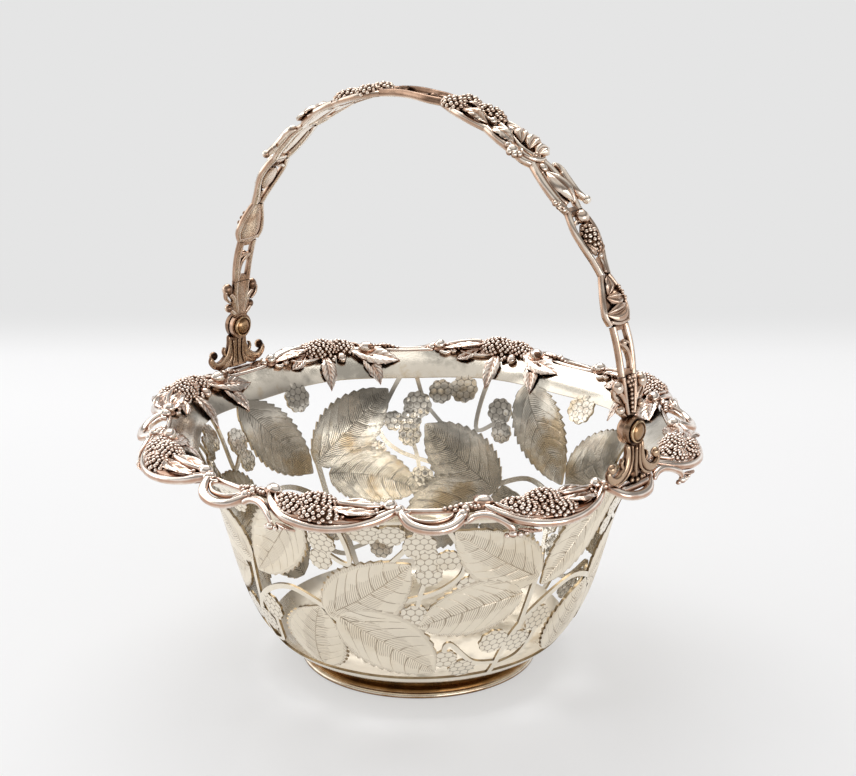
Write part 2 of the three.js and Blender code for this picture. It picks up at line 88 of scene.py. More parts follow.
def turned(points, angle):
    # points of the plane or of space turned about the upright axis by degrees
    c, s = math.cos(math.radians(angle)), math.sin(math.radians(angle))
    size = points.shape[-1]
    return points @ np.array([[c, s, 0], [-s, c, 0], [0, 0, 1]])[:size, :size]


def gridFaces(rows, cols):
    # two triangles for each cell of a grid whose columns close round
    i, j = np.meshgrid(np.arange(rows - 1), np.arange(cols), indexing="ij")
    k = (j + 1) % cols
    a, b, c, d = i * cols + j, i * cols + k, (i + 1) * cols + k, (i + 1) * cols + j
    cells = [np.stack([a, b, c], -1), np.stack([a, c, d], -1)]
    return np.concatenate([cell.reshape(-1, 3) for cell in cells])


def facedOut(points, faces):
    # the faces of a closed surface, turned over where its volume comes out below zero
    a, b, c = (points[faces[:, k]] for k in range(3))
    return faces[:, ::-1] if np.sum(a * np.cross(b, c)) < 0 else faces


def closedShell(rings, tone):
    # closed rings of points, one after another, with a fan of triangles over each end
    n, m = rings.shape[:2]
    j = np.arange(m)
    k = (j + 1) % m
    points = np.vstack([rings.reshape(-1, 3), rings[0].mean(0), rings[-1].mean(0)])
    first = np.column_stack([0 * j + n * m, k, j])
    last = np.column_stack([0 * j + n * m + 1, (n - 1) * m + j, (n - 1) * m + k])
    tones = np.concatenate([tone.ravel(), [tone[0].mean(), tone[-1].mean()]])
    return points, facedOut(points, np.vstack([gridFaces(n, m), first, last])), tones


def joinShells(shells):
    counts = np.cumsum([0] + [len(s[0]) for s in shells])
    points = np.vstack([s[0] for s in shells])
    faces = np.vstack([s[1] + start for s, start in zip(shells, counts)])
    return points, faces, np.concatenate([s[2] for s in shells])


def carried(path, lift, steps):
    # a curve's points, and at each the directions along it, to its side and upwards
    line = evenCurve(path, steps)
    if line.shape[1] == 2:
        line = np.column_stack([line, np.zeros(steps)])
    line[:, 2] += spread(lift, steps)
    along = unit(np.gradient(line, axis=0))
    side = unit(np.cross([0, 0, 1.0], along))
    return line[:, None], along[:, None], side[:, None], np.cross(along, side)[:, None]


def bar(path, width, height, lift=0, depth=1.4, steps=28, sides=12, tone=0, blunt=False):
    # a scroll bar: round above the path and flat below it, its ends drawn in unless blunt
    line, _, side, up = carried(path, lift, steps)
    turn = around(sides)
    level = np.sin(turn)
    above = level > 0
    run = np.linspace(-1, 1, steps)[:, None]
    end = 1 if blunt else np.sqrt(np.clip(1 - run ** 16, 0.02, 1))
    w, h = spread(width, steps)[:, None] / 2, spread(height, steps)[:, None]
    x = w * end * np.sign(np.cos(turn)) * np.abs(np.cos(turn)) ** np.where(above, 1, 0.5)
    z = end * np.where(above, h * level, -depth * np.abs(level) ** 0.5)
    # painted shade with tarnish: a dark band low on each side where the bar meets what lies under
    # it, its flat underside kept lighter
    plainer = 1 - 0.8 * easeStep(-0.5, -0.8, level)
    shade = np.clip(tone * plainer + 0.7 * np.exp(-((level + 0.15) / 0.3) ** 2) + 0 * x, 0, 1)
    return closedShell(line + side * x[..., None] + up * z[..., None], shade)


def volute(x, y, radius, start, turns, hand=1):
    # a spiral that winds in to a quarter of its radius
    a = np.linspace(0, 1, 16)
    angle = math.radians(start) + hand * a * turns * 2 * np.pi
    r = radius * 0.25 ** a
    return np.column_stack([x + r * np.cos(angle), y + r * np.sin(angle)])


def leaf(path, width, lift, thick, teeth, bite, fold, swell, veins=6, steps=40):
    # half width = width/2 sin(pi s^0.85) less a saw tooth; the blade folds up from its midrib and
    # each half swells as a half sine; side veins are grooves that lead to the tip
    line, along, side, up = carried(path, lift, steps)
    half = 9
    s = np.linspace(0, 1, steps)[:, None]
    v = np.linspace(-1, 1, 2 * half + 1)
    a = np.abs(v)
    full = np.sin(np.pi * np.clip(s, 0.01, 0.99) ** 0.85)
    x = width / 2 * full * (1 - bite * (s * teeth % 1)) * v
    lead = 0.125 * width * a * full
    groove = np.cos(2 * np.pi * (s * veins - 0.8 * a)) ** 8 * easeStep(0, 0.15, a)
    rib = 0.3 * np.exp(-(a / 0.07) ** 2)
    bed = full * (fold * a + swell * np.sin(np.pi * a) - 0.26 * groove) + rib
    top = line + side * x[..., None] + along * lead[..., None] + up * bed[..., None]
    under = top - up * (thick * (1 - 0.75 * a ** 3))[:, None]
    # tarnish in the vein grooves; painted shade in the crease beside the midrib and on the
    # underside of the blade
    shade = np.clip(0.3 * groove + 0.4 * np.exp(-((a - 0.13) / 0.07) ** 2) + 0.2 * a ** 6, 0, 1)
    shade = np.concatenate([shade, np.full((steps, 2 * half - 1), 0.35)], 1)
    return closedShell(np.concatenate([top, under[:, ::-1][:, 1:-1]], 1), shade)


def globe(levels, sides):
    # rings of points on a ball of radius 1, at latitudes in degrees
    level, turn = np.radians(levels)[:, None], around(sides)
    flat = np.cos(level)
    return np.stack([flat * np.cos(turn), flat * np.sin(turn), np.sin(level) + 0 * turn], -1)


def beads(centres, outward, radius):
    # round beads: rings of eight points at four latitudes under a pole, each bead pointing outward
    levels, sides = [-35, 5, 40, 68], 8
    centres = np.atleast_2d(centres)
    outward = unit(np.broadcast_to(np.asarray(outward, float), centres.shape))
    helper = np.where(np.abs(outward[:, :1]) > 0.9, [[0, 1.0, 0]], [[1.0, 0, 0]])
    side = unit(np.cross(helper, outward))
    axes = np.stack([side, np.cross(outward, side), outward], 1)
    one = np.vstack([globe(levels, sides).reshape(-1, 3), [0, 0, 1]])
    points = centres[:, None] + np.reshape(radius, (-1, 1, 1)) * (one @ axes)
    j = np.arange(sides)
    last = (len(levels) - 1) * sides
    top = np.column_stack([last + j, last + (j + 1) % sides, 0 * j + last + sides])
    base = np.column_stack([0 * j, j, np.roll(j, 1)])[2:]
    faces = np.vstack([gridFaces(len(levels), sides), top, base])
    faces = faces + len(one) * np.arange(len(centres))[:, None, None]
    # painted shade with tarnish: each bead darkens towards its base, where the beads crowd together
    shade = np.clip(0.9 * easeStep(0.85, 0.05, one[:, 2]), 0, 1)
    return points.reshape(-1, 3), faces.reshape(-1, 3), np.tile(shade, len(centres))


random = np.random.default_rng(11)


def berry(x, y, z, halfLength, halfWidth, height, bead, lean=0):
    # a core, darkened as painted shade with tarnish between the beads, under beads set by the
    # golden angle over the upper part of an ellipsoid, each one a little off its place and of its
    # own size
    size = [halfLength, halfWidth, height]
    area = np.pi * (halfLength * halfWidth + (halfLength + halfWidth) * height * 0.7)
    count = max(7, int(area / (bead * bead * 3.5)))
    i = np.arange(count) + 0.5
    up = 1 - 1.1 * (i + random.uniform(-0.4, 0.4, count)) / count
    angle = i * np.pi * (3 - 5 ** 0.5) + random.uniform(-0.06, 0.06, count)
    flat = np.sqrt(np.clip(1 - up ** 2, 0, 1))
    spot = np.column_stack([flat * np.cos(angle), flat * np.sin(angle), up])
    core = globe(np.linspace(-88, 88, 9), 16)
    core[..., 2] *= np.where(core[..., 2] < 0, 0.3, 1)
    rings, centres = (turned(points * size, lean) + [x, y, z]
                      for points in (0.9 * core, 0.95 * spot))
    outward = turned(unit(spot / size), lean)
    # painted shade: the core is darkened where it shows between the beads
    return joinShells([closedShell(rings, np.full(core.shape[:2], 0.9)),
                       beads(centres, outward, bead * random.uniform(0.92, 1.08, count))])


def ball(x, y, z, rx, ry=None, rz=None, tone=0):
    shape = globe(np.linspace(-86, 86, 13), 20)
    # painted shade: the lower half of each ball is darkened
    shade = np.clip(tone + 0.9 * easeStep(0.1, -0.7, shape[..., 2]), 0, 1)
    return closedShell(shape * [rx, ry or rx, rz or rx] + [x, y, z], shade)


# Meshes


def addObject(name, data):
    thing = bpy.data.objects.new(name, data)
    bpy.context.scene.collection.objects.link(thing)
    return thing


def makePiece(name, shell, body, node, materials, faceSlots=None, sharp=65):
    points, faces, tones = shell
    mesh = bpy.data.meshes.new(name)
    mesh.vertices.add(len(points))
    mesh.vertices.foreach_set("co", (points * milli).astype(np.float32).ravel())
    mesh.loops.add(faces.size)
    mesh.loops.foreach_set("vertex_index", faces.astype(np.int32).ravel())
    mesh.polygons.add(len(faces))
    mesh.polygons.foreach_set("loop_start", np.arange(0, faces.size, 3, dtype=np.int32))
    for material in materials:
        mesh.materials.append(material)
    if faceSlots is not None:
        mesh.polygons.foreach_set("material_index", faceSlots.astype(np.int32))
    mesh.update(calc_edges=True)
    mesh.shade_smooth()
    mesh.set_sharp_from_angle(angle=math.radians(sharp))
    # the tones are painted shade with tarnish on the cast pieces, and the engraved lines on the
    # bowl
    giveValues(mesh, "patinaAndShadeTone", "POINT", tones)
    piece = addObject(name, mesh)
    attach(piece, body)
    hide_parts(node)
    return piece


def giveValues(mesh, name, domain, values):
    layer = mesh.attributes.new(name, "FLOAT", domain)
    layer.data.foreach_set("value", values.astype(np.float32))


def giveCorners(mesh, name, values):
    # two numbers for each corner of each face
    layer = mesh.uv_layers.new(name=name)
    layer.data.foreach_set("uv", values.astype(np.float32).ravel())


# Materials


def colour(code):
    # sRGB hex to linear light
    values = [int(code[i:i + 2], 16) / 255 for i in (1, 3, 5)]
    return [v / 12.92 if v <= 0.04045 else ((v + 0.055) / 1.055) ** 2.4 for v in values] + [1.0]


def addNode(tree, kind, values=None):
    # each value goes to a setting or an input: a number, a colour's code or the output feeding it
    node = tree.nodes.new(kind)
    for key, value in (values or {}).items():
        if isinstance(key, str) and key not in node.inputs:
            setattr(node, key, value)
        elif isinstance(value, bpy.types.NodeSocket):
            tree.links.new(value, node.inputs[key])
        else:
            node.inputs[key].default_value = colour(value) if isinstance(value, str) else value
    return node


def newTree(owner):
    owner.use_nodes = True
    owner.node_tree.nodes.clear()
    return owner.node_tree


def startMaterial(name):
    # an empty material, its node tree and the place of each point in the object's own frame
    material = bpy.data.materials.new(name)
    tree = newTree(material)
    return material, tree, addNode(tree, "ShaderNodeTexCoord").outputs["Object"]


def attribute(tree, name):
    return addNode(tree, "ShaderNodeAttribute", {"attribute_name": name}).outputs["Fac"]


def finishMetal(tree, tint, rough, relief=None):
    # the metal's shader, with a bump node's values where it has fine relief
    values = {"Metallic": 1, "Base Color": tint, "Roughness": rough}
    if relief:
        values["Normal"] = addNode(tree, "ShaderNodeBump", relief).outputs[0]
    shader = addNode(tree, "ShaderNodeBsdfPrincipled", values)
    addNode(tree, "ShaderNodeOutputMaterial", {"Surface": shader.outputs[0]})


def blend(tree, share, first, second):
    settings = {"data_type": "RGBA", 0: share, 6: first, 7: second}
    return addNode(tree, "ShaderNodeMix", settings).outputs[2]


def calc(tree, operation, *values, clamp=False):
    settings = {"operation": operation, "use_clamp": clamp}
    return addNode(tree, "ShaderNodeMath", {**settings, **dict(enumerate(values))}).outputs[0]


def stepUp(tree, value, low, high):
    # 0 below low, 1 above high, smooth between
    settings = {"interpolation_type": "SMOOTHSTEP", 0: value, 1: low, 2: high}
    return addNode(tree, "ShaderNodeMapRange", settings).outputs[0]


def noise(tree, coords, size, detail, rough=0.5):
    # size is the distance in millimetres between its lumps
    settings = {"Scale": 1 / (size * milli), "Detail": detail, "Roughness": rough, "Vector": coords}
    return addNode(tree, "ShaderNodeTexNoise", settings).outputs["Fac"]


castLook = {
    "castSilver": {"bright": "#f9efe4", "warm": "#c7a18a", "deep": "#5a3e2c", "rough": 0.13,
                   "patinaAndShade": 1.1},
    "handleSilver": {"bright": "#f3e9db", "warm": "#bd9c84", "deep": "#5a4130", "rough": 0.15,
                     "patinaAndShade": 1.05},
    "pinSilver": {"bright": "#cfb28d", "warm": "#906a48", "deep": "#3b2818", "rough": 0.14,
                  "patinaAndShade": 1.0},
    "brownedSilver": {"bright": "#c2a68b", "warm": "#745642", "deep": "#2a1b13", "rough": 0.16,
                      "patinaAndShade": 1.5},
    "footSilver": {"bright": "#e6dccb", "warm": "#9a7143", "deep": "#24150c", "rough": 0.1,
                   "patinaAndShade": 1.3},
}


def makeCastSilver(name, look):
    # cast and chased silver: polished on its high points, rose-brown tarnish held in the recesses,
    # deepened by painted shade wherever parts crowd each other
    material, tree, place = startMaterial(name)
    # painted shade: the ambient occlusion node darkens the colour where nearby parts block the
    # light
    nook = addNode(tree, "ShaderNodeAmbientOcclusion", {"samples": 6, "Distance": 3 * milli})
    occlusionAndHollows = calc(tree, "SUBTRACT", 1, nook.outputs["AO"])
    occlusionAndHollows = calc(tree, "ADD", attribute(tree, "patinaAndShadeTone"), occlusionAndHollows)
    patch = calc(tree, "MULTIPLY_ADD", noise(tree, place, 7, 4), 0.5, -0.18)
    # painted shade with tarnish: occlusion, the shells' dark tones and noise push the colour to
    # browns
    patinaAndPaintedShade = calc(tree, "MULTIPLY_ADD", occlusionAndHollows, 0.6 * look["patinaAndShade"], patch)
    tint = blend(tree, stepUp(tree, patinaAndPaintedShade, 0.04, 0.44), look["bright"], look["warm"])
    tint = blend(tree, stepUp(tree, patinaAndPaintedShade, 0.42, 0.88), tint, look["deep"])
    speck = calc(tree, "MULTIPLY_ADD", noise(tree, place, 1.1, 3), 0.06, look["rough"] - 0.03)
    rough = calc(tree, "MULTIPLY_ADD", patinaAndPaintedShade, 0.22, speck)
    dents = noise(tree, place, 2.4, 2)
    finishMetal(tree, tint, rough, {"Strength": 0.2, "Distance": 0.15 * milli, "Height": dents})
    return material


sheetLook = {
    "outside": {"metal": "#f9f0df", "mattAndPaintedReflection": "#f5e9d3", "line": "#7c6244", "rough": 0.17,
                "leafRough": 0.34, "net": 0.55, "hatch": 0.6, "grey": 0.06, "gold": 0.15,
                "floorPaintedLight": 0},
    "inside": {"metal": "#efe8da", "mattAndPaintedReflection": "#c4bba9", "line": "#4a4236", "rough": 0.18,
               "leafRough": 0.22, "net": 0.6, "hatch": 0.8, "grey": 0.62, "gold": 0.6,
               "floorPaintedLight": 0.9},
    "hatchSpacing": 1.15,
    "drupe": 3.6,
}


def makeSheetSilver(name, look):
    # raised sheet, engraved: fine hatching beside each leaf's midrib and margin, its lines browned
    material, tree, place = startMaterial(name)
    isLeaf, isBerry = attribute(tree, "isLeaf"), attribute(tree, "isBerry")
    shares, sizes = (addNode(tree, "ShaderNodeUVMap", {"uv_map": item}).outputs[0]
                     for item in ("leafShare", "leafSize"))
    share, size, above = (addNode(tree, "ShaderNodeSeparateXYZ", {0: item}).outputs
                          for item in (shares, sizes, place))
    across = calc(tree, "ABSOLUTE", share[1])
    offside = calc(tree, "ABSOLUTE", size[1])

    # strokes slant from the midrib and curl to the tip, near the midrib and along the margin
    curl = calc(tree, "MULTIPLY_ADD", offside, -0.035, -0.4)
    slanted = calc(tree, "MULTIPLY_ADD", offside, curl, size[0])
    phase = calc(tree, "MULTIPLY_ADD", noise(tree, place, 6, 2), 1.2, slanted)
    stripe = calc(tree, "PINGPONG", calc(tree, "DIVIDE", phase, sheetLook["hatchSpacing"]), 0.5)
    reach = calc(tree, "MULTIPLY_ADD", noise(tree, place, 4, 2), 0.5, 0.17)
    nearRib = stepUp(tree, calc(tree, "SUBTRACT", reach, across), -0.05, 0.05)
    nearEdge = stepUp(tree, calc(tree, "MULTIPLY_ADD", reach, 0.3, across), 0.97, 1.02)
    hatched = calc(tree, "MULTIPLY", calc(tree, "MAXIMUM", nearRib, nearEdge), isLeaf)
    hatch = calc(tree, "MULTIPLY", stepUp(tree, stripe, 0.2, 0.06), hatched)
    edge = calc(tree, "MULTIPLY", stepUp(tree, across, 0.955, 0.985), isLeaf)
    net = calc(tree, "MULTIPLY", honeycomb(tree, sizes, sheetLook["drupe"]), isBerry)
    cut = attribute(tree, "patinaAndShadeTone")
    for line, depth in ((hatch, look["hatch"]), (edge, 0.4), (net, look["net"])):
        cut = calc(tree, "MAXIMUM", cut, calc(tree, "MULTIPLY", line, depth))

    # dull patches, partly painted dark reflection and partly the leaves' own matt, then grey and
    # golden patches
    patch = noise(tree, place, 28, 4)
    cloud = noise(tree, place, 34, 5, 0.6)
    # painted reflection: noise patches darken the polished sheet as if it mirrored darker parts of
    # the room
    mattAndPaintedReflection = calc(tree, "MULTIPLY_ADD", patch, 1.1, -0.45)
    mattAndPaintedReflection = calc(tree, "MULTIPLY_ADD", isLeaf, 0.4, mattAndPaintedReflection, clamp=True)
    grey = calc(tree, "MULTIPLY", stepUp(tree, cloud, 0.5, 0.64), look["grey"])
    gold = calc(tree, "MULTIPLY", stepUp(tree, cloud, 0.47, 0.36), look["gold"])

    # painted light: the bowl's floor is pale and matt in patches, most up to 18 mm and none from 34
    # mm
    floorLightPatches = stepUp(tree, noise(tree, place, 20, 4), 0.4, 0.58)
    floorLightPatches = calc(tree, "MULTIPLY_ADD", floorLightPatches, 0.65, 0.35)
    floorPaintedLight = calc(tree, "MULTIPLY", stepUp(tree, above[2], 34 * milli, 18 * milli), look["floorPaintedLight"])
    floorPaintedLight = calc(tree, "MULTIPLY", floorPaintedLight, floorLightPatches)

    # painted light: the pale #ede5d6 on the bowl's floor stands for light falling from above
    tint = look["metal"]
    for amount, other in ((mattAndPaintedReflection, look["mattAndPaintedReflection"]), (grey, "#76746d"), (gold, "#c6a873"),
                          (floorPaintedLight, "#ede5d6"), (cut, look["line"])):
        tint = blend(tree, amount, tint, other)
    leafRougher = look["leafRough"] - look["rough"]
    rough = calc(tree, "MULTIPLY_ADD", isLeaf, leafRougher, look["rough"] - 0.05)
    for amount, more in ((patch, 0.1), (floorPaintedLight, 0.3)):
        rough = calc(tree, "MULTIPLY_ADD", amount, more, rough)
    height = calc(tree, "SUBTRACT", calc(tree, "MULTIPLY", noise(tree, place, 9, 2), 1.4), hatch)
    finishMetal(tree, tint, rough, {"Strength": 0.3, "Distance": 0.1 * milli, "Height": height})
    return material


def honeycomb(tree, place, step):
    # 1 on the lines between round cells on a triangular grid, by the nearer of its two sets of rows
    def vector(operation, *values):
        given = {"operation": operation, **dict(enumerate(values))}
        return addNode(tree, "ShaderNodeVectorMath", given).outputs

    settings = {"Scale": 0.5 / step, "Detail": 1, "Vector": place}
    stray = addNode(tree, "ShaderNodeTexNoise", settings).outputs["Color"]
    warped = vector("MULTIPLY_ADD", stray, (1.2, 1.2, 0), place)[0]
    scaled = vector("MULTIPLY", warped, (1 / step, 1 / step, 0))[0]
    middle = 0.6 / step
    reach = []
    for shift in (0, 0.5):
        moved = vector("ADD", scaled, (shift - middle, shift * 3 ** 0.5 - middle, 0))[0]
        cell = vector("WRAP", moved, (0.5, 0.75 ** 0.5, 1), (-0.5, -0.75 ** 0.5, -1))[0]
        reach.append(vector("LENGTH", cell)["Value"])
    return stepUp(tree, calc(tree, "MINIMUM", *reach), 0.43, 0.49)


def makeCutEdge():
    # the sawn edge of the sheet, browned, so that each opening has a thin darker outline
    material, tree, place = startMaterial("sawnSilverEdge")
    finishMetal(tree, blend(tree, noise(tree, place, 3, 2), "#c2ae8c", "#6e5a40"), 0.3)
    return material


castSilver = makeCastSilver("castSilverBorder", castLook["castSilver"])
handleSilver = makeCastSilver("castSilverHandle", castLook["handleSilver"])
brownedSilver = makeCastSilver("brownedCastSilver", castLook["brownedSilver"])
footSilver = makeCastSilver("spunFootSilver", castLook["footSilver"])
sheetOutside = makeSheetSilver("engravedSilverOutside", sheetLook["outside"])
sheetInside = makeSheetSilver("engravedSilverInside", sheetLook["inside"])
cutEdge = makeCutEdge()
pinSilver = makeCastSilver("polishedSilverPin", castLook["pinSilver"])
print("materials made")

# Bowl

bowl = {
    "sheet": 1.2,
    "seat": 9.3,
    "stations": [(51, 0), (68, 4.7), (83, 28.7), (96.5, 75.7), (106, 95.7), (119, 105.7)],
    "lobes": 8,
    "lobeDepth": 2.4,
    "lobeStart": 60.56,
    "piercedFrom": 22,
    "plainLip": 16.5,
    "flatRadius": 92,
    "spacing": 2.6,
    "baseEdge": 18,
    "leaves": [(0, 96, 58, 30, 231, 2), (27.4, 77, 52, 34, 38, -2), (64.5, 95, 56, 31, 143, 2),
               (57.5, 65, 50, 29, 195, -2), (9, 45, 41, 33, 76, 1.5), (33, 45, 54, 36, -38, 2)],
    "berries": [(17, 102, 6.6), (15.5, 91.5, 5.4), (29, 111.5, 7), (35.6, 110, 6.2),
                (42.6, 103, 7.4), (45, 87.5, 6), (44.9, 94.6, 6), (50, 95, 5.2), (55.6, 80.5, 4.6),
                (41.2, 64, 6.8), (79.5, 113, 7.5), (66, 46, 6.8), (50.5, 38, 5.8), (57, 30, 6.2),
                (81, 54, 6.8), (75, 43, 6.2)],
    "stems": [(2.5, [(69, 22), (71, 44), (79, 61), (93, 71), (108, 62)]),
              (2.4, [(74, 50), (77, 80)]), (2.1, [(69, 31), (60, 34.5), (51.5, 48), (50, 38)]),
              (2.2, [(69, 28), (78, 33), (81.5, 50)]),
              (2.1, [(36, 72), (49, 79.5), (54.5, 93), (47, 120)]),
              (2, [(41.5, 60), (42.5, 75), (45, 88)]), (2, [(17, 97), (24, 92), (22, 120)]),
              (2, [(33, 90), (40, 104), (43, 120)])],
    "teeth": 13,
    "veins": 6,
    "veinWidth": 0.7,
    "veinDepth": 0.28,
    "veinInside": 0.04,
    "drupeOutside": 0.1,
    "drupeInside": 0.34,
}

profileLine = evenCurve(np.array(bowl["stations"]) + [0, bowl["seat"]], 400)
wallRun = np.concatenate([[0], np.cumsum(np.linalg.norm(np.diff(profileLine, axis=0), axis=1))])
wallLength = wallRun[-1]
profileSlope = unit(np.gradient(profileLine, axis=0))
lipHeight = profileLine[-1, 1]
lipRadius = profileLine[-1, 0]


def wallSection(up, out):
    # radius and height at a distance up the wall and a distance off its outer face
    inside = np.clip(up, 0, wallLength)
    columns = (*profileLine.T, *profileSlope.T)
    r, z, slopeR, slopeZ = (np.interp(inside, wallRun, column) for column in columns)
    past = up - inside
    return r + slopeR * past + slopeZ * out, z + slopeZ * past - slopeR * out


def lobe(angle, height):
    # the lip waves out eight times round, and the wave dies away down the wall
    share = easeStep(bowl["seat"] + bowl["lobeStart"], lipHeight, height)
    return -bowl["lobeDepth"] * share * np.cos(bowl["lobes"] * angle)


def onWall(angle, up, out):
    r, z = wallSection(up, out)
    reach = r + lobe(angle, z)
    return np.column_stack([reach * np.cos(angle), reach * np.sin(angle), z + 0 * angle])


flatScale = math.radians(1) * bowl["flatRadius"]
quarterWidth = 90 * flatScale
seamMargin = 8
sameSpot = 1e-5


def flatOf(turn, up, local):
    # millimetres about a point of the wall to the flat sheet, whose width is drawn at one radius
    ratio = bowl["flatRadius"] / wallSection(up, 0)[0]
    return np.column_stack([turn * flatScale + local[:, 0] * ratio, up + local[:, 1]])


def leafHalf(share, width):
    # an oval, fuller to the base, drawn out to a short point
    share = np.clip(share, 0, 1)
    return width / 2 * np.sin(np.pi * share ** 0.84) ** 0.68 * (1 - 0.3 * easeStep(0.86, 1, share))


def leafPoint(share, across, length, width, bend):
    # the blade bends to one side as a parabola
    arch = bend * (1 - (2 * share - 1) ** 2)
    return np.column_stack([(share - 0.5) * length, across * leafHalf(share, width) + arch])


def leafOutline(*shape):
    # three points to a saw tooth, which leans to the tip
    teeth = bowl["teeth"]
    share = ((np.arange(teeth)[:, None] + [0, 0.45, 0.85]) / teeth).ravel()
    across = np.tile([0.945, 1, 1.045], teeth)
    return leafPoint(np.concatenate([share, [1], share[:0:-1]]),
                     np.concatenate([-across, [0], across[:0:-1]]), *shape)


def veinLines(*shape):
    # the midrib, and side veins that leave it in pairs and curve to the tip
    lines = [leafPoint(np.linspace(0, 0.97, 16), np.zeros(16), *shape)]
    t = np.linspace(0, 1, 8)
    for start in 0.06 + np.linspace(0, 0.78, bowl["veins"]):
        for hand in (-1, 1):
            share = start + (0.05 if hand > 0 else 0) + 0.3 * t ** 1.5 * (1 - start)
            lines.append(leafPoint(np.clip(share, 0, 0.985), hand * (0.03 + 0.78 * t), *shape))
    return lines


def beside(line, width):
    # the step to the left of a flat line, half its width
    along = unit(np.gradient(line, axis=0))
    return np.column_stack([-along[:, 1], along[:, 0]]) * width / 2


def stemOutline(points, width):
    # a band of even width along a smooth curve, in millimetres about its first point
    turn, up = points[0]
    scale = math.radians(1) * wallSection(up, 0)[0]
    line = smoothCurve((np.array(points) - [turn, up]) * [scale, 1], 6 * len(points))
    side = beside(line, width)
    return np.vstack([line - side, (line + side)[::-1]])


class flatSheet:
    # collects the outlines and engraved lines of one quarter, drawn flat

    def __init__(self):
        self.points, self.cuts, self.edges, self.faces, self.motifs = [], [], [], [], []

    def add(self, points, cut, chain=False, motif=None):
        index = range(len(self.points), len(self.points) + len(points))
        self.points += points.tolist()
        self.cuts += np.broadcast_to(cut, len(points)).tolist()
        if chain:
            self.edges += zip(index, index[1:])
        if motif is not None:
            self.faces.append(list(index))
            self.motifs.append(motif)


def drawQuarter():
    # a motif: its kind (1 leaf, 2 berry, 3 stem), turn, height, lean, length, width and bend; the
    # solid bands come first, then points on a triangular grid that keep the faces even
    sheet = flatSheet()
    step = bowl["spacing"]
    across = np.linspace(0, quarterWidth, int(round(quarterWidth / step)) + 1)
    lipStart = wallLength - bowl["plainLip"]
    for low, high in ((bowl["baseEdge"], bowl["piercedFrom"]), (lipStart, wallLength)):
        row = np.column_stack([across, 0 * across + low])
        sheet.add(np.vstack([row, row[::-1] + [0, high - low]]), 0, motif=(0,) * 7)
    rows = np.arange(bowl["piercedFrom"] + step, wallLength - 0.4 * step, step * 0.87)
    for number, y in enumerate(rows):
        x = across[:-1] + (0.25 + 0.5 * (number % 2)) * across[1]
        sheet.add(np.column_stack([x, x * 0 + y]), 0)
    ends = np.arange(bowl["baseEdge"], wallLength, step)
    for x in (0, quarterWidth):
        sheet.add(np.column_stack([ends * 0 + x, ends]), 0, chain=True)
    shifts = (-90, 0, 90)
    for shift in shifts:
        for width, points in bowl["stems"]:
            place = (points[0][0] + shift, points[0][1])
            addInView(sheet, flatOf(*place, stemOutline(points, width)), (3, *place, 0, 1, 1, 0))
    for shift in shifts:
        for turn, up, radius in bowl["berries"]:
            addBerry(sheet, turn + shift, up, radius)
    for shift in shifts:
        for turn, up, length, width, lean, bend in bowl["leaves"]:
            place, shape = (turn + shift, up), (length, width, bend)
            addInView(sheet, flatOf(*place, turned(leafOutline(*shape), lean)),
                      (1, *place, lean, *shape))
            for line in veinLines(*shape):
                addVein(sheet, place, line, lean)
    return sheet


def inView(points):
    return points[:, 0].max() > -seamMargin and points[:, 0].min() < quarterWidth + seamMargin


def addInView(sheet, outline, motif):
    # outlines end just under the lip's edge, and those beyond the quarter's seams are left out
    outline[:, 1] = np.minimum(outline[:, 1], wallLength - 0.5)
    if inView(outline):
        sheet.add(outline, 0, motif=motif)


def addVein(sheet, place, line, lean):
    # three lines side by side: the cut's two lips and its bottom
    side = beside(line, bowl["veinWidth"]) * np.linspace(1, 0.35, len(line))[:, None]
    for offset, cut in ((-1, 0), (0, 1), (1, 0)):
        flat = flatOf(*place, turned(line + side * offset, lean))
        flat = flat[flat[:, 1] < wallLength - 1]
        if len(flat) > 1 and inView(flat):
            sheet.add(flat, cut * np.linspace(1, 0.5, len(flat)), chain=True)


def addBerry(sheet, turn, up, radius):
    # round drupelets on a triangular grid: a raised point in each one's middle, low ones between
    spin = around(44)
    scallop = radius * (0.92 + 0.13 * np.abs(np.sin(spin * 4.5)))
    outline = flatOf(turn, up, np.column_stack([scallop * np.cos(spin), scallop * np.sin(spin)]))
    if not inView(outline):
        return
    addInView(sheet, outline, (2, turn, up, 0, radius, radius, 0))
    step = sheetLook["drupe"]
    column, row = (grid.ravel() for grid in np.meshgrid(np.arange(-4, 5), np.arange(-4, 5)))
    centres = step * np.column_stack([column + 0.5 * (row % 2), row * 0.75 ** 0.5])
    for shift, cut in (((0, 0), -1), ((0, 0.577), 0), ((0.5, 0.289), 0)):
        spots = centres + step * np.array(shift)
        spots = spots[np.hypot(*spots.T) < radius - 0.7]
        sheet.add(flatOf(turn, up, spots), cut)


def meshQuarter():
    # each triangle belongs to the last motif drawn there, and those in none are sawn out
    sheet = drawQuarter()
    result = delaunay_2d_cdt([Vector(p) for p in sheet.points], sheet.edges, sheet.faces, 0,
                             sameSpot)
    flat, triangles = np.array([tuple(p) for p in result[0]]), np.array(result[2])
    cuts = [max((sheet.cuts[i] for i in ids), key=abs, default=0) for ids in result[3]]
    owner = np.array([max(ids, default=-1) for ids in result[5]])
    x, y = flat[triangles].mean(1).T
    keep = (owner >= 0) & (x > 0) & (x < quarterWidth) & (y > bowl["baseEdge"])
    used, renumbered = np.unique(triangles[keep], return_inverse=True)
    return (flat[used], renumbered.reshape(-1, 3), np.array(cuts, float)[used],
            np.array(sheet.motifs, float)[owner[keep]])


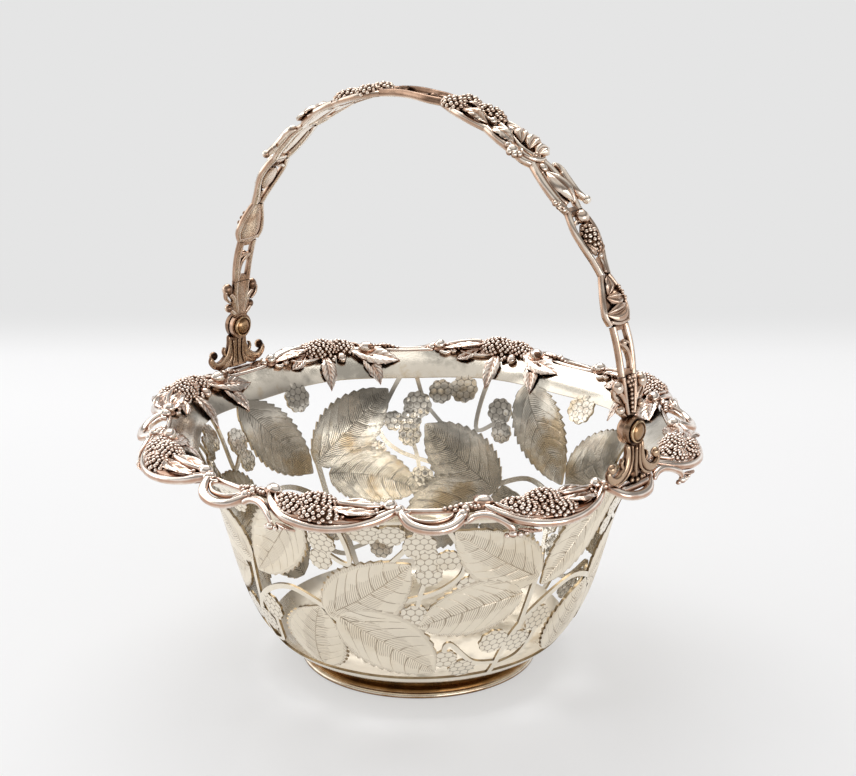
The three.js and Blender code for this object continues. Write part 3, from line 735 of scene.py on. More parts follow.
def leafCorners(flat, triangles, motifs):
    # the corners' places in their own leaf: shares of its length and half width, and millimetres
    kind, turn, up, lean, length, width, bend = motifs.T[..., None]
    corner = flat[triangles]
    dx = (corner[..., 0] - turn * flatScale) * wallSection(up, 0)[0] / bowl["flatRadius"]
    dy = corner[..., 1] - up
    c, s = np.cos(np.radians(lean)), np.sin(np.radians(lean))
    x, y = dx * c + dy * s, dy * c - dx * s
    share = x / np.maximum(length, 1) + 0.5
    y = y - np.where(kind == 1, bend * (1 - (2 * share - 1) ** 2), 0)
    across = y / np.maximum(leafHalf(share, np.maximum(width, 1)), 0.5)
    return (np.where(kind[..., None] == 1, np.stack([share, across], -1), 0),
            np.where(np.isin(kind, (1, 2))[..., None], np.stack([x, y], -1), 0))


def onEdge(flat, column, value):
    # the numbers of the points on one edge of the quarter, in order along it
    found = np.nonzero(np.abs(flat[:, column] - value) < 10 * sameSpot)[0]
    return found[np.argsort(flat[found, 1 - column])]


def baseRings(angle, out):
    # the middle of the base and rings of points from there out to the wall, off the outer face
    middle = [0, 0, bowl["seat"] - out]
    circle = np.column_stack([np.cos(angle), np.sin(angle), 0 * angle])
    rings = [circle * radius + middle for radius in (4, 12, 24, 36, 46)]
    return np.vstack([middle, *rings, *(onWall(angle, up, out) for up in (0, 1, 3, 6, 10, 14))])


def padded(values, count):
    # the values with zeros after them, up to a count
    return np.concatenate([values, np.zeros((count - len(values), *values.shape[1:]))])


def makeBowl():
    flat, triangles, cuts, motifs = meshQuarter()
    count = len(flat)
    left, right = onEdge(flat, 0, 0), onEdge(flat, 0, quarterWidth)
    print("wall quarter:", count, "points,", len(triangles), "faces, seam", len(left), len(right))

    # four quarters, each welded to the next, round a base of rings
    quarter = count * np.arange(4)[:, None]
    welded = np.arange(4 * count)
    welded[right + quarter] = left + np.roll(quarter, -1)
    wall = welded[triangles + quarter[:, None]].reshape(-1, 3)
    ring = (onEdge(flat, 1, bowl["baseEdge"])[:-1] + quarter).ravel()
    angle = (flat[:, 0] / bowl["flatRadius"] + np.arange(4)[:, None] * np.pi / 2).ravel()
    up, cut = np.tile(flat[:, 1], 4), np.tile(cuts, 4)
    vein, drupe = np.maximum(cut, 0), np.maximum(-cut, 0)
    outside = drupe * bowl["drupeOutside"] - vein * bowl["veinDepth"]
    inside = vein * bowl["veinInside"] - drupe * bowl["drupeInside"]
    points = np.vstack([[*onWall(angle, up, out + relief), *baseRings(angle[ring], out)]
                        for out, relief in ((0, outside), (-bowl["sheet"], inside))])
    size = len(points) // 2
    first = 4 * count + 1 + np.arange(len(ring))
    numbers = np.concatenate([np.arange(first[0], size), ring])
    fan = np.column_stack([0 * first + 4 * count, np.roll(first, -1), first])
    front = np.vstack([wall, numbers[gridFaces(len(numbers) // len(ring), len(ring))], fan])

    # the inner face is the outer one turned over, and strips join the two along every free edge
    edges = np.vstack([front[:, [k, (k + 1) % 3]] for k in range(3)])
    a, b = edges[~np.isin(edges @ [size, 1], edges @ [1, size])].T
    rims = np.vstack([np.column_stack([b, a, a + size]), np.column_stack([b, a + size, b + size])])
    used, faces = np.unique(np.vstack([front, front[:, ::-1] + size, rims]), return_inverse=True)
    faces = faces.reshape(-1, 3)
    tones = np.tile(padded(np.clip(cut, 0, 1), size), 2)
    slots = np.repeat([0, 1, 2], [len(front), len(front), len(rims)])
    piece = makePiece("piercedBowl", (points[used], faces, tones[used]), "basket",
                      "pierced_bowl", [sheetOutside, sheetInside, cutEdge],
                      slots, sharp=40)
    for name, values in zip(("leafShare", "leafSize"), leafCorners(flat, triangles, motifs)):
        values = padded(np.tile(values, (4, 1, 1)), len(front))
        giveCorners(piece.data, name, padded(np.vstack([values, values[:, ::-1]]), len(faces)))
    kinds = padded(np.tile(padded(np.tile(motifs[:, 0], 4), len(front)), 2), len(faces))
    giveValues(piece.data, "isLeaf", "FACE", kinds == 1)
    giveValues(piece.data, "isBerry", "FACE", kinds == 2)


makeBowl()
print("bowl made")

# Foot

foot = {
    "outline": [(53.4, 0), (56.2, 0), (56.8, 0.4), (57, 1.1), (56.8, 1.8), (56.1, 2.3), (55.4, 2.4),
                (55.1, 2.7), (55.2, 3.1), (54.8, 3.5), (53.5, 3.9), (52.3, 4.5), (51.5, 5.2),
                (51.1, 5.9), (51, 6.5), (51.3, 6.9), (51.6, 7.2), (51.3, 7.5), (51.1, 7.6),
                (51.5, 7.9), (51.8, 8.2), (51.5, 8.6), (51.6, 8.8), (51.2, 9), (47.4, 9),
                (47.4, 5.4), (50.5, 3.6), (53.2, 1.6)],
    "segments": 224,
}


def revolved(outline, segments, tones):
    # a closed outline of radius and height carried round the upright axis
    r, z = np.array(outline, float).T
    turn = around(segments)[:, None]
    points = np.stack([r * np.cos(turn), r * np.sin(turn), z + 0 * turn], -1).reshape(-1, 3)
    faces = gridFaces(segments + 1, len(r)) % len(points)
    return points, facedOut(points, faces), np.tile(tones, segments)


def makeFoot():
    # the colour is darker in the cove, less so above it, and darker in the groove of the neck
    z = np.array(foot["outline"])[:, 1]
    tones = 0.05 + 0.68 * easeStep(2, 3.4, z) - 0.45 * easeStep(6.7, 7.3, z)
    tones += 0.5 * (np.abs(z - 7.6) < 0.15)
    makePiece("footRing", revolved(foot["outline"], foot["segments"], tones), "basket", "foot_ring",
              [footSilver], sharp=60)


makeFoot()
print("foot made")

# Border

border = {
    "turnOfCasting": 22.5,
    "wire": [(25.4, -1.4, 3.8), (23.6, 2.8, 2.8), (18.6, 7.4, 0.8), (10, 10.8, -1.4),
             (-2, 12.2, -2.6), (-13, 11.2, -2.2), (-23, 8.2, -0.6), (-29.6, 4.8, 1.6),
             (-33, 1.8, 2.8)],
    "wireWidth": [1.8, 2.4, 3.1, 3.2, 3.2, 3.2, 3.4, 3.8, 3.4],
    "wireHeight": [1.3, 1.6, 1.9, 1.9, 1.9, 1.9, 2.1, 2.3, 2],
    "berries": [(11.4, 3.4, 1.2, 8.6, 5.8, 5.4, -22), (0.8, 1.2, 1.8, 9.4, 6.4, 6.6, 6),
                (-3, 7.4, 0.2, 9.8, 4.6, 4.8, 2)],
    "bead": 1.12,
    "bud": (-29.4, 1.2, 3.8, 2.9),
}


def atRim(turn):
    # x runs clockwise round the rim, y outwards from the lip's edge and z up
    def place(p):
        angle = math.radians(turn) - p[:, 0] / lipRadius
        reach = lipRadius + lobe(angle, lipHeight) + p[:, 1]
        return np.column_stack([reach * np.cos(angle), reach * np.sin(angle), lipHeight + p[:, 2]])
    return place


def onInnerLip(turn):
    # x runs clockwise, y up the wall with 0 at the lip's edge and z inwards off the inner face
    def place(p):
        angle = math.radians(turn) - p[:, 0] / lipRadius
        return onWall(angle, wallLength + p[:, 1], -bowl["sheet"] - p[:, 2])
    return place


def bent(place, shells):
    return [(place(points), faces, tones) for points, faces, tones in shells]


def makeCasting():
    # outside, along the rim: a bold wire over scrolls, leaves and rising berries, with a hooked end
    outer = [
        bar(border["wire"], border["wireWidth"], border["wireHeight"], 0, 1.6, 80),
        ball(-33, 3.2, 2.6, 2.2, 2.4, 2.3),
        ball(-3, 4.2, -0.2, 28, 7.6, 2.4, 0.4),
        bar([(25.2, 0.6, 3.4), (21, 4.8, 2.6), (14, 8.2, 0.8), (5, 10, -0.8), (-4, 10.2, -1.2)],
            [1.2, 2.6, 2.8, 2, 1], 1.3, steps=44),
        bar([(21, 1.4, 4.4), (18, 5.2, 3.6), (12, 8, 2), (4, 9.4, 1)], [0.9, 1.3, 1.3, 0.8],
            1.2, 0, 1.6, 36),
        bar([(-6, 10, -0.6), (-14, 9, 0), (-22, 6.2, 1), (-29.5, 2.2, 2.4)], [0.9, 1.6, 1.7, 1.2],
            1.3, steps=40),
        beads([(32.2, 1.2, 3.6), (30.6, 1.9, 3.3), (29, 2.2, 3.1), (27.5, 1.9, 3.2)],
              (0, 0.3, 1), 1.15),
        ball(25.6, -0.2, 3.2, 2.5, 2.2, 2.2, 0.45),
        bar([(33, -1.2, 2.6), (29, -1.6, 2.8), (25, -1.8, 3)], [1.6, 2.2, 2], 1.4, steps=18),
        leaf([(-6, 4.6), (-13, 6.8), (-20, 6), (-27.4, 3.6)], 10, [4.4, 3.6, 2.6, 2.2], 1.6, 3, 0.2,
             0.7, 1.1, veins=2),
        leaf([(-7, -0.6), (-13.6, -1.4), (-20.4, -0.4), (-28, -0.8)], 9.6, [5, 4.4, 3.2, 2.6], 1.6,
             3, 0.2, 0.7, 1.1, veins=2),
        bar([(-8, 2.6, 5.4), (-15, 2.9, 5), (-21, 2.4, 4.2), (-26, 1.2, 3.4)], [1.4, 2.4, 2.2, 1.2],
            1.5, 0, 1.8, 34),
        ball(*border["bud"]),
        ball(-29.6, 1.4, 1.6, 3.6, 3.4, 1.7, 0.5),
        beads([(-24.2, 3.6, 2.8), (-25.6, 1.2, 3.4), (-24.8, 5.6, 2)], (0, 0.2, 1), 1.25),
        bar([(33.6, 9.8, -0.8), (30.6, 8.4, 1.2), (26, 8.2, 1.8), (21.6, 9.6, 0.6),
             (18, 11.6, -1.8), (16.6, 12.2, -4.6)],
            [1.8, 2.6, 2.8, 2.6, 2.2, 1.4], 1.4, 0, 1.3, 48),
        bar([(31, 6.6, 1.2), (26.4, 6.2, 2), (22, 7.6, 1.2)], [0.8, 1.4, 0.8], 1.2, 0, 1.2, 24),
        ball(16.8, 12.2, -5.4, 1.7),
        beads([(14.2, 12.4, -5.6), (11.8, 12.4, -5.2), (18.8, 11.6, -6.2)], (0, 1, 0),
              [1.3, 1.1, 1.2]),
        leaf([(14.6, 11.6, -3.4), (10, 12.4, -4.6), (5.6, 12.2, -4.8)], 3.4, 0, 0.9, 4, 0.1, 0.5,
             0.4, veins=3, steps=22),
    ]
    for *shape, lean in border["berries"]:
        outer.append(berry(*shape, border["bead"], lean))
    # inside, on the lip: three long pointed leaves and a short one that hang from small scrolls
    inner = [
        bar([(28, 1.5), (16, 1.2), (0, 1), (-16, 1.2), (-29, 1.5)], 2, 1.2, 0.6, 0.8, 40),
        bar([(2, -1.5), (-6, -4.2), (-14, -3.4), (-19, -0.8)], [1.4, 2, 1.8, 1.2], 1.5, 1, 0.9, 26),
        bar(volute(-6.5, -1.9, 2.5, 150, 1.1, -1), 1.1, 1.3, 1.3, 0.9, 22),
        bar(volute(-21.5, -1.2, 2.7, 20, 1.15), 1.3, 1.4, 1.2, 0.9, 22),
        ball(-6.5, -1.9, 1.6, 1.1), ball(-21.5, -1.2, 1.6, 1.2),
        bar([(-23, -1), (-26, -2.6), (-29.6, -1.2)], [1.6, 2.4, 1.4], 1.3, 0.9, 0.9, 18),
        ball(24.5, 0.6, 3, 4.2, 3.4, 3.2, 0.05), ball(26.2, -0.4, 4.6, 2.4, 1.9, 1.8, 1),
        bar([(19.6, -1.2), (22.2, -4), (26.6, -3.8), (28.6, -1)], [0.9, 1.6, 1.6, 0.9],
            1.6, 1.4, 1.4, 20),
        leaf([(15, 0.6), (23, -2.6), (32, -4.8), (42, -6.4)], 13, [2, 2.4, 1.8, 0.7], 0.9, 6, 0.16,
             0.7, 0.9, veins=4),
        leaf([(22.5, -2), (25, -8.6), (28, -14.6), (29.4, -20.5)], 9.4, [2, 1.5, 0.9, 0.6], 0.8, 4,
             0.12, 0.5, 0.8, veins=4),
        leaf([(1.5, -2), (1.2, -9), (0.2, -15.6), (-0.8, -22)], 9, [2, 1.6, 0.9, 0.6],
             0.8, 4, 0.12, 0.5, 0.8, veins=4),
        ball(10.4, -4.6, 1.6, 2.5, 3, 2.2, 0.15),
        leaf([(-9, 0), (-14, -3.8), (-20, -6.4)], 7.4, [1.8, 1.6, 0.7], 0.8, 4, 0.14, 0.5, 0.7,
             veins=3, steps=26),
        beads([(4.4, -3.2, 1.8), (6.6, -4.6, 1.8), (5.4, -5.8, 1.6)], (0, -0.3, 1), 1.2),
    ]
    turn = border["turnOfCasting"]
    return joinShells(bent(atRim(turn), outer) + bent(onInnerLip(turn), inner))


def makeLinkShell(bearing):
    # an open scroll: its bold band hangs out and down between two knots that sit on the lip
    band = [(13.4, 1.6, 3), (12, 6.4, 1.4), (8, 11, -1.4), (1, 13, -2.8), (-6, 12, -2.2),
            (-11.4, 8, 0.4), (-14.2, 3.8, 2.4)]
    outer = [
        bar(band, [2.6, 3.6, 4.4, 4.4, 4.2, 3.6, 2.6], [1.5, 1.9, 2.2, 2.2, 2.2, 1.9, 1.6],
            0, 1.7, 54),
        bar([(10.6, 1.4, 1.6), (9.8, 5.6, 0.6), (5, 8.8, -0.4), (-2, 9.2, -0.4), (-7.6, 6.6, 0.6),
             (-9, 2.4, 1.8)],
            [1.2, 1.4, 1.5, 1.5, 1.4, 1.2], 1.1, 0, 1.2, 38),
        bar([(14.2, 0.4, 1.2), (7, 0.4, 0.9), (-3, 0.6, 0.9), (-14, 1, 1.4)], [1.6, 2.2, 2.2, 2.4],
            1.3, 0, 1.2, 30),
        ball(13.2, 2.2, 2.6, 2.1, 2.2, 2.1),
        bar([(13.6, 4, 2.2), (10.6, 4, 1.4), (9, 1.8, 1.4)], [2.2, 1.8, 1.2], 1.2, 0, 1.2, 18),
        bar([(-8.2, 10.4, -0.6), (-10.6, 6.4, 1.4), (-11.4, 2.2, 2)], [1.6, 2.2, 1.8],
            1.5, 0, 1.2, 20),
        ball(-12, 6.4, 1.8, 2, 2, 2.1),
        ball(-13.6, 3.2, 2.8, 1.8, 1.9, 1.9),
        beads([(-5.4, 1.6, 2.2), (-7.8, 2, 2.7), (-10, 2.4, 3.2), (-12.2, 1.4, 3.6),
               (-9.4, 4.6, 2.4)],
              (0, 0.2, 1), [1.2, 1.35, 1.45, 1.5, 1.3]),
    ]
    if bearing:
        outer += [bar([(9.4, 8.6), (0, 8.4), (-9.4, 8.6)], [4.6, 5.6, 4.6], 1.6, 0.6, 2.2, 20),
                  leaf([(-3, 4.4), (-9, 4.2), (-11.2, 6)], 3.4, 2, 0.8, 3, 0.1, 0.6, 0.4)]
    return joinShells(bent(atRim(0), outer))


def spun(shell, turn):
    points, faces, tones = shell
    return turned(points, turn), faces, tones


def makeBorder():
    casting = makeCasting()
    for i in range(8):
        for name, node, shell in (("borderCasting", "berry_cluster_", casting),
                                  ("borderLink", "scroll_link_", makeLinkShell(i % 4 == 0))):
            makePiece(name + str(i + 1), spun(shell, 45 * i), "basket", node + str(i + 1),
                      [castSilver])


makeBorder()
print("border made")

# Hinges

hinge = {
    "foot": 117.6,
    "inside": 123.6,
    "outside": 126.2,
    "rise": 22.4,
    "rivetEnds": (120.2, 126.4),
    "headRise": 2.2,
}


def hoop(x, y, outline):
    # a closed outline of radius and height carried round an upright axis at x, y
    points, faces, tones = revolved(outline, 32, np.full(len(outline), 0.25))
    return points + [x, y, 0], faces, tones


def makePin():
    # circles along the rivet, from the middle of its inner head to the middle of the outer one
    inner, outer = hinge["rivetEnds"]
    rise = hinge["headRise"] * np.array([0.98, 0.92, 0.72, 0.45, 0.4, 0.62, 0.55, 0.3, 0])
    radius = [0.5, 1.8, 3, 3.8, 4.1, 4.4, 4.8, 5, 5]
    shade = [0.3, 0.35, 0.4, 0.9, 0.7, 0, 0, 0.2, 0.5]
    x, r, tones = (np.array(row)[:, None] for row in (
        [*(inner - rise), inner, outer, *(outer + rise[::-1])],
        [*radius, 2, 2, *radius[::-1]],
        [*shade, 0.5, 0.5, *shade[::-1]]))
    turn = around(32)
    axis = hinge["foot"] + hinge["rise"]
    rings = np.stack([x + 0 * turn, r * np.cos(turn), axis + r * np.sin(turn)], -1)
    return closedShell(rings, tones + 0 * turn)


def makeHinges():
    # an upright tongue with a ring round the rivet, between scrolls that mirror each other
    middle = (hinge["inside"] + hinge["outside"]) / 2
    rise = hinge["rise"]

    def upright(p):
        return np.column_stack([middle + p[:, 2], p[:, 0], hinge["foot"] + p[:, 1]])

    shells = [
        bar([(0, 0.2), (0, 7), (0, rise - 5)], [15, 11, 10.4, 11.6], 1, 0, 1.3, 30, tone=0.25),
        bar([(0, 0.4), (0, 6), (0, rise - 6)], [1.6, 2.2, 1.6], 2.2, 0, 0.8, 20),
        hoop(0, rise, [(2.3, -1.3), (6.5, -1.3), (6.6, 0.6), (6, 1.5), (5.2, 1), (2.3, 1)]),
        beads([(-3.4, 1.4, 1.6), (0, 0.9, 1.9), (3.4, 1.4, 1.6)], (0, 0, 1), 1.35),
        ball(0, 3, 0.4, 3.4, 2.6, 1.6, 0.3),
    ]
    for x in (-3.4, 0, 3.4):
        line = [(x * 1.3, 1.5), (x * 0.8, 7), (x, rise - 7)]
        shells.append(bar(line, [0.7, 1.2, 0.7], 0.2, -1, 0.9, 24))
    scroll = [(5, rise - 4.5), (4.8, 12), (6.4, 7), (10.4, 3.6), (14.6, 3.4), (17.4, 6.2),
              (16.8, 9)]
    inner = [(2.7, rise - 5), (2.5, 11), (4.2, 5), (8.6, 1.6), (13.4, 1)]
    tip = [(7.5, 6.5), (9, 9.5), (8.2, 12)]
    for hand in ((-1, 1), (1, 1)):
        shells += [
            bar(np.multiply(scroll, hand), [2.4, 2.6, 3.6, 4.6, 4.4, 3.4, 2.4],
                [1.6, 1.9, 2.1, 2.1, 1.9, 1.7, 1.2], 0, 1.3, 44),
            bar(np.multiply(inner, hand), [1.3, 1.6, 2.2, 2.4, 1.4], [1.8, 2.1, 2, 1.6, 1.2],
                0, 1.2, 34),
            ball(hand[0] * 15.6, 8.8, 0.2, 2.3, 2.3, 2),
            bar(np.multiply(tip, hand), [2, 1.6, 0.8], 1.3, 0, 1, 16),
        ]
    plate = joinShells(bent(upright, shells))
    pin = makePin()
    for side, turn in (("right", 0), ("left", 180)):
        makePiece("hingePlate_" + side, spun(plate, turn), "basket", "hinge_bracket_" + side,
                  [brownedSilver])
        makePiece("hingePin_" + side, spun(pin, turn), "basket", "rivet_" + side,
                  [pinSilver])


makeHinges()
print("hinges made")

# Bail

bail = {
    "pivotHeight": 140,
    "middle": 121.9,
    "rise": 130.8,
    "power": 2.05,
    "samples": 4001,
    "drawnHalf": 199.5,
    "stretchFrom": 24,
    "browned": {"shield": 0.3, "strut": 0.35, "leaf": 0.25, "berry_frame": 0.15,
                "berry_pair": 0.12},
}


def archPart(size, part):
    # across or up the arch, which is a superellipse, from the cosine or sine of an angle
    return size * np.sign(part) * np.abs(part) ** (2 / bail["power"])


archAngle = np.linspace(0, np.pi, bail["samples"])
archX = archPart(bail["middle"], np.cos(archAngle))
archZ = bail["pivotHeight"] + archPart(bail["rise"], np.sin(archAngle))
archRun = np.concatenate([[0], np.cumsum(np.hypot(np.diff(archX), np.diff(archZ)))])


def onArch(p):
    # x runs along the arch from the right pivot, y across it to the front and z outwards
    near = bail["stretchFrom"]
    share = (archRun[-1] / 2 - near) / (bail["drawnHalf"] - near)
    along = np.where(p[:, 0] <= near, p[:, 0], near + (p[:, 0] - near) * share)

    def at(distance):
        inside = np.clip(distance, 0, archRun[-1])
        return np.column_stack([np.interp(inside, archRun, archX),
                                np.interp(inside, archRun, archZ)])

    point = at(along)
    run = unit(at(along + 1) - at(along - 1))
    below = along < 0
    point[below, 1] += along[below]
    run[below] = [0, 1]
    return np.column_stack([point[:, 0] + run[:, 1] * p[:, 2], -p[:, 1],
                            point[:, 1] - run[:, 0] * p[:, 2]])


def strap(path, width, height, steps=40):
    # a bar that runs at full size into the next section
    return bar(path, width, height, steps=steps, blunt=True)


def panel(path, width, tone, height):
    # a thin plate under the ornament
    return bar(path, width, height, depth=1.1, steps=40, sides=14, tone=tone, blunt=True)


def shieldShells():
    # the eye round the rivet, and a beaded plate between curls
    column = [(x, 0, 1.5) for x in (8.4, 10.3, 12.2, 14.1, 16, 17.9)]
    cluster = [(20, -1.1, 1.7), (20, 1.1, 1.7), (21.8, -2.2, 1.7), (21.9, 0, 1.7), (21.8, 2.2, 1.7),
               (23.4, -1.1, 1.7), (23.4, 1.1, 1.7)]
    shells = [
        hoop(0, 0, [(2.3, -1.4), (6.4, -1.4), (6.6, 0.4), (6, 1.4), (5, 0.8), (2.3, 0.8)]),
        panel([(5, 0), (14, 0), (23.8, 0)], [9, 11.5, 13, 12, 10.4, 9.6], 0.5, 0.7),
        beads(column, (0, 0, 1), 1),
        beads(cluster, (0, 0, 1), 1.15),
    ]
    for hand in (-1, 1):
        shells += [
            strap([(7.4, hand * 2), (12, hand * 3), (18, hand * 3.6), (23.8, hand * 3.8)],
                  [1.8, 2.6, 2.6, 3], 2.1),
            bar([(12.4, hand * 3.8), (15.4, hand * 5), (18, hand * 7.6)], [2, 2.8, 2.4], 2),
            bar([(6.4, hand * 3.4), (8.4, hand * 5.6), (9.6, hand * 6.6)], [1.8, 2.2, 1.8], 1.7),
            bar([(13, hand * 6.6), (16, hand * 9.8), (20, hand * 10.4)], [1, 1.6, 1], 1.2),
            ball(20.2, hand * 8.2, 0.8, 3, 2.7, 2.6), ball(10.2, hand * 7, 0.5, 2.2, 2.2, 2.1),
        ]
    return shells


def strutShells():
    # two rails, a curl that crosses between them, and air
    return [
        strap([(24.2, 3.7), (30, 4), (38, 4.2), (45.8, 4.4)], [3, 2.4, 2.3, 2.8], 1.8),
        strap([(24.2, -3.6), (30, -4.2), (38, -4.4), (45.8, -3.8)], [3.4, 3.4, 3.4, 3.6], 2),
        bar([(25, -2.4), (30, -2.6), (34.6, -1.4), (37.4, 1.2), (38.4, 4)], [2.4, 2, 1.8, 2.2, 2.4],
            1.9, steps=36),
        bar([(37, -3.6), (38.4, -1.4), (38.2, 1.6)], [1.4, 1.8, 1.6], 1.9),
        ball(38.3, 0.4, 1.1, 1.5, 1.6, 1.5),
        panel([(24.2, 0), (27, 0)], [8, 6], 0.4, 1.2),
        panel([(43.8, 0), (45.8, 0)], [5, 8], 0.35, 1),
    ]


def leafShells():
    # a tapered plate with a collar and three leaves folded over it
    return [
        panel([(46.2, 0), (52, 0), (58, 0), (63, 0), (67.8, 0)], [10, 14.6, 13, 9.6, 6.6],
              0.3, 0.9),
        strap([(46.8, 6), (51, 7.6), (57, 6.6), (63, 4.4), (67.8, 2)], [1.8, 2, 1.8, 1.8, 2.6],
              1.7),
        strap([(46.8, -5.6), (51, -7.4), (57, -6.8), (63, -4.6), (67.8, -2)], [1.8, 2, 1.8, 2, 2.8],
              1.7),
        bar([(47.4, -6.4), (46.9, -2), (47, 2), (48.2, 6.8)], [2.2, 3, 3, 2.2], 2.6),
        leaf([(51.6, 7.4), (51, 2.6), (51.8, -2.4), (54, -7)], 7.4, [1, 2.2, 2.4, 1.4], 1.2, 1, 0,
             0.9, 1.2, veins=0),
        leaf([(57.2, -6.2), (56.8, -1), (58.4, 4.8)], 7, [1.2, 2.6, 1.4], 1.2, 1, 0, -0.6, 1.5,
             veins=0, steps=30),
        leaf([(59, 3.2), (63, 1.6), (67.4, 0.2)], 5.4, [1, 1.8, 1.4],
             1.2, 2, 0.08, 0.8, 1, veins=0, steps=26),
        beads([(56.4, -6.6, 1.6), (59, -5.8, 1.6), (61.4, -4.8, 1.6)], (0, 0, 1), 1.15),
    ]


def berryFrameShells():
    # two bowed rails round one long berry
    return [
        strap([(68.2, 2), (74, 3.5), (82, 5.8), (90, 6.6), (97.8, 4.4)], [2.8, 2, 2, 2.1, 3],
              1.9, steps=50),
        strap([(68.2, -2), (74, -3), (80, -5), (87, -6.4), (93, -5.6), (97.8, -3.6)],
              [3.2, 3.2, 2.2, 2, 2.2, 3], 2, steps=50),
        berry(84.6, -0.4, 0.3, 6.4, 4.1, 4, 1.12),
        panel([(77.6, -0.4), (84.6, -0.4), (91.6, -0.6)], [2, 8, 9, 8, 2.4], 0.35, 0.5),
        ball(94.4, -1.2, 1.5, 3.2, 3.3, 3),
        ball(76.2, -0.6, 1.6, 1.3),
        bar([(68.6, -0.4), (72, -1), (76.4, -0.8)], [2.2, 1.2, 1.4], 1.8),
        leaf([(76.6, -1.6), (79.4, -3.2), (83, -4.6)], 3.2, [1, 1.8, 1.2], 1.2, 2, 0.1, 0.8, 0.6,
             veins=2, steps=24),
        leaf([(76.6, 0.6), (79.4, 2.8), (83, 4.4)], 3.2, [1, 1.8, 1.2], 1.2, 2, 0.1, 0.8, 0.6,
             veins=2, steps=24),
        bar([(91.4, 5.8), (93, 3.2), (92.6, 0.4)], [1.6, 1.8, 1.2], 1.8),
        panel([(96, 0), (97.8, 0)], [6, 9], 0.5, 1.2),
    ]


def acanthusShells():
    # two rails, a large leaf between them and a rolled one at the side
    return [
        panel([(98.2, 0), (100, 0)], [9.4, 6.5], 0.35, 1.2),
        panel([(103, -1.6), (108, 0), (114, 0.4), (120, 0)], [4, 6.4, 6.4, 6], 0.3, 0.5),
        strap([(98.2, 4.4), (104, 6.6), (112, 7.2), (119, 6.2), (124.8, 4.4)], [3, 3, 2.8, 2.6, 3],
              2.2, steps=50),
        bar([(101, 2.6), (106, 4.4), (113, 4.8), (120, 3.6)], [1.2, 1.4, 1.4, 1], 1.8),
        strap([(98.2, -3.6), (104, -4.4), (111, -4.4), (118, -4.8), (124.8, -3.6)],
              [3.2, 2.8, 3.2, 3.4, 3.2], 1.8, steps=50),
        bar([(120.6, -4.2), (121.6, -6.4), (119, -7.8), (113, -7), (107, -7.4), (103.6, -9.2),
             (101.6, -11.2)],
            [1.4, 2, 2.8, 3.6, 3.6, 3, 2], [1.6, 2.2, 2.6, 2.6, 2.4, 2.2, 1.8], [0.6, 1, 1, 0.6],
            1.4, 60),
        bar([(117, -6), (111, -5.4), (106, -5.8), (103, -7.6)], [1, 1.4, 1.4, 1], 2.6, 0.6),
        ball(101.6, -11, 1, 1.9, 1.9, 2),
        leaf([(101.4, -2.4), (107.4, -0.8), (113, 0.8), (120, 1.2)], 9.6, [1.4, 2.6, 2.4, 1], 1.6,
             1, 0, -0.5, 2.4, veins=0),
        leaf([(98.8, 6.4), (101.4, 8.6), (105.4, 9)], 4, [1, 1.4, 0.8], 1.2, 2, 0.1, 0.8, 0.4,
             veins=2, steps=24),
        beads([(99.4, 7, 1.2), (101.4, 8.8, 1.4), (103.4, 9.6, 1.3)], (0, 0.3, 1), 1.35),
        bar([(108.6, -9.2), (107, -10.6)], [1.6, 0.9], 1.4),
        panel([(119.5, 0), (124.8, 0)], [6, 9.6], 0.35, 1),
        ball(121.6, 0.6, 0.9, 2.2, 1.9, 1.6),
    ]


def scrollworkShells():
    # two rails with a curl, a broad leaf and three that hang over the side
    return [
        strap([(125.2, 4.4), (129, 7.4), (136, 8.2), (144, 8.8), (151.8, 7.4)],
              [3, 2.4, 2.2, 2.2, 2.8], 1.8, steps=50),
        strap([(125.2, -3.6), (129, -5.8), (137, -7.6), (145, -8.6), (151.8, -7.2)],
              [3.2, 2.4, 2.4, 2.4, 2.8], 2, steps=50),
        bar([(126, -5), (125.6, -1), (127.4, 3.4), (131, 5.4), (134, 3.8)],
            [2.2, 2.6, 2.4, 2.2, 1.4], 2.4, 0.2, 1.4, 40),
        strap([(127, -1.6), (134, 1.6), (141, 0.8), (147, -1.2), (151.8, -1.8)],
              [2, 1.8, 1.8, 2.4, 3.4], 1.9, steps=50),
        panel([(126, -2), (131, -2.8), (138, -3.4), (146, -3.6)], [5, 7.6, 8, 7], 0.3, 0.5),
        panel([(141, 4.2), (146, 4.4), (151.8, 3)], [3, 7, 9], 0.3, 0.5),
        leaf([(128.6, -1.2), (129.8, -5.6), (129.6, -10.6)], 7.4, [1.2, 3.2, 2.6], 1.4, 1, 0, -0.8,
             1.8, veins=0, steps=30),
        leaf([(133, -0.8), (135.4, -5.4), (136.4, -10.8)], 7.8, [1.4, 3.6, 2.8], 1.4, 1, 0, -0.8,
             1.8, veins=0, steps=30),
        leaf([(137.4, -0.6), (141.4, -4.2), (144.4, -8.8)], 7, [1.4, 3.2, 2.4], 1.4, 1, 0, -0.8,
             1.6, veins=0, steps=30),
        leaf([(151.2, 4.4), (145, 5), (138.6, 3.2)], 10.5, [1, 2, 1.2],
             1.4, 4, 0.16, 1, 1.4, veins=2),
        leaf([(150.6, -4.4), (145.6, -4.6), (141, -3.6)], 5.2, [1, 1.6, 1], 1.2, 2, 0.08, 0.8, 0.8,
             veins=0, steps=26),
        bar([(131, 4), (133.4, 8.6)], 3, 1.4),
        ball(134, 9.4, 1.6, 2.6, 2.5, 2.3),
        beads([(130.6, 8.6, 1.8), (131.4, 10.9, 1.5), (137.2, 9.6, 1.7), (133.6, 11.8, 1.2)],
              (0, 0.4, 1), 1.5),
        bar(volute(128.4, -0.6, 2.2, 200, 1.1), 1, 2.2, 0.2, 1, 22),
    ]


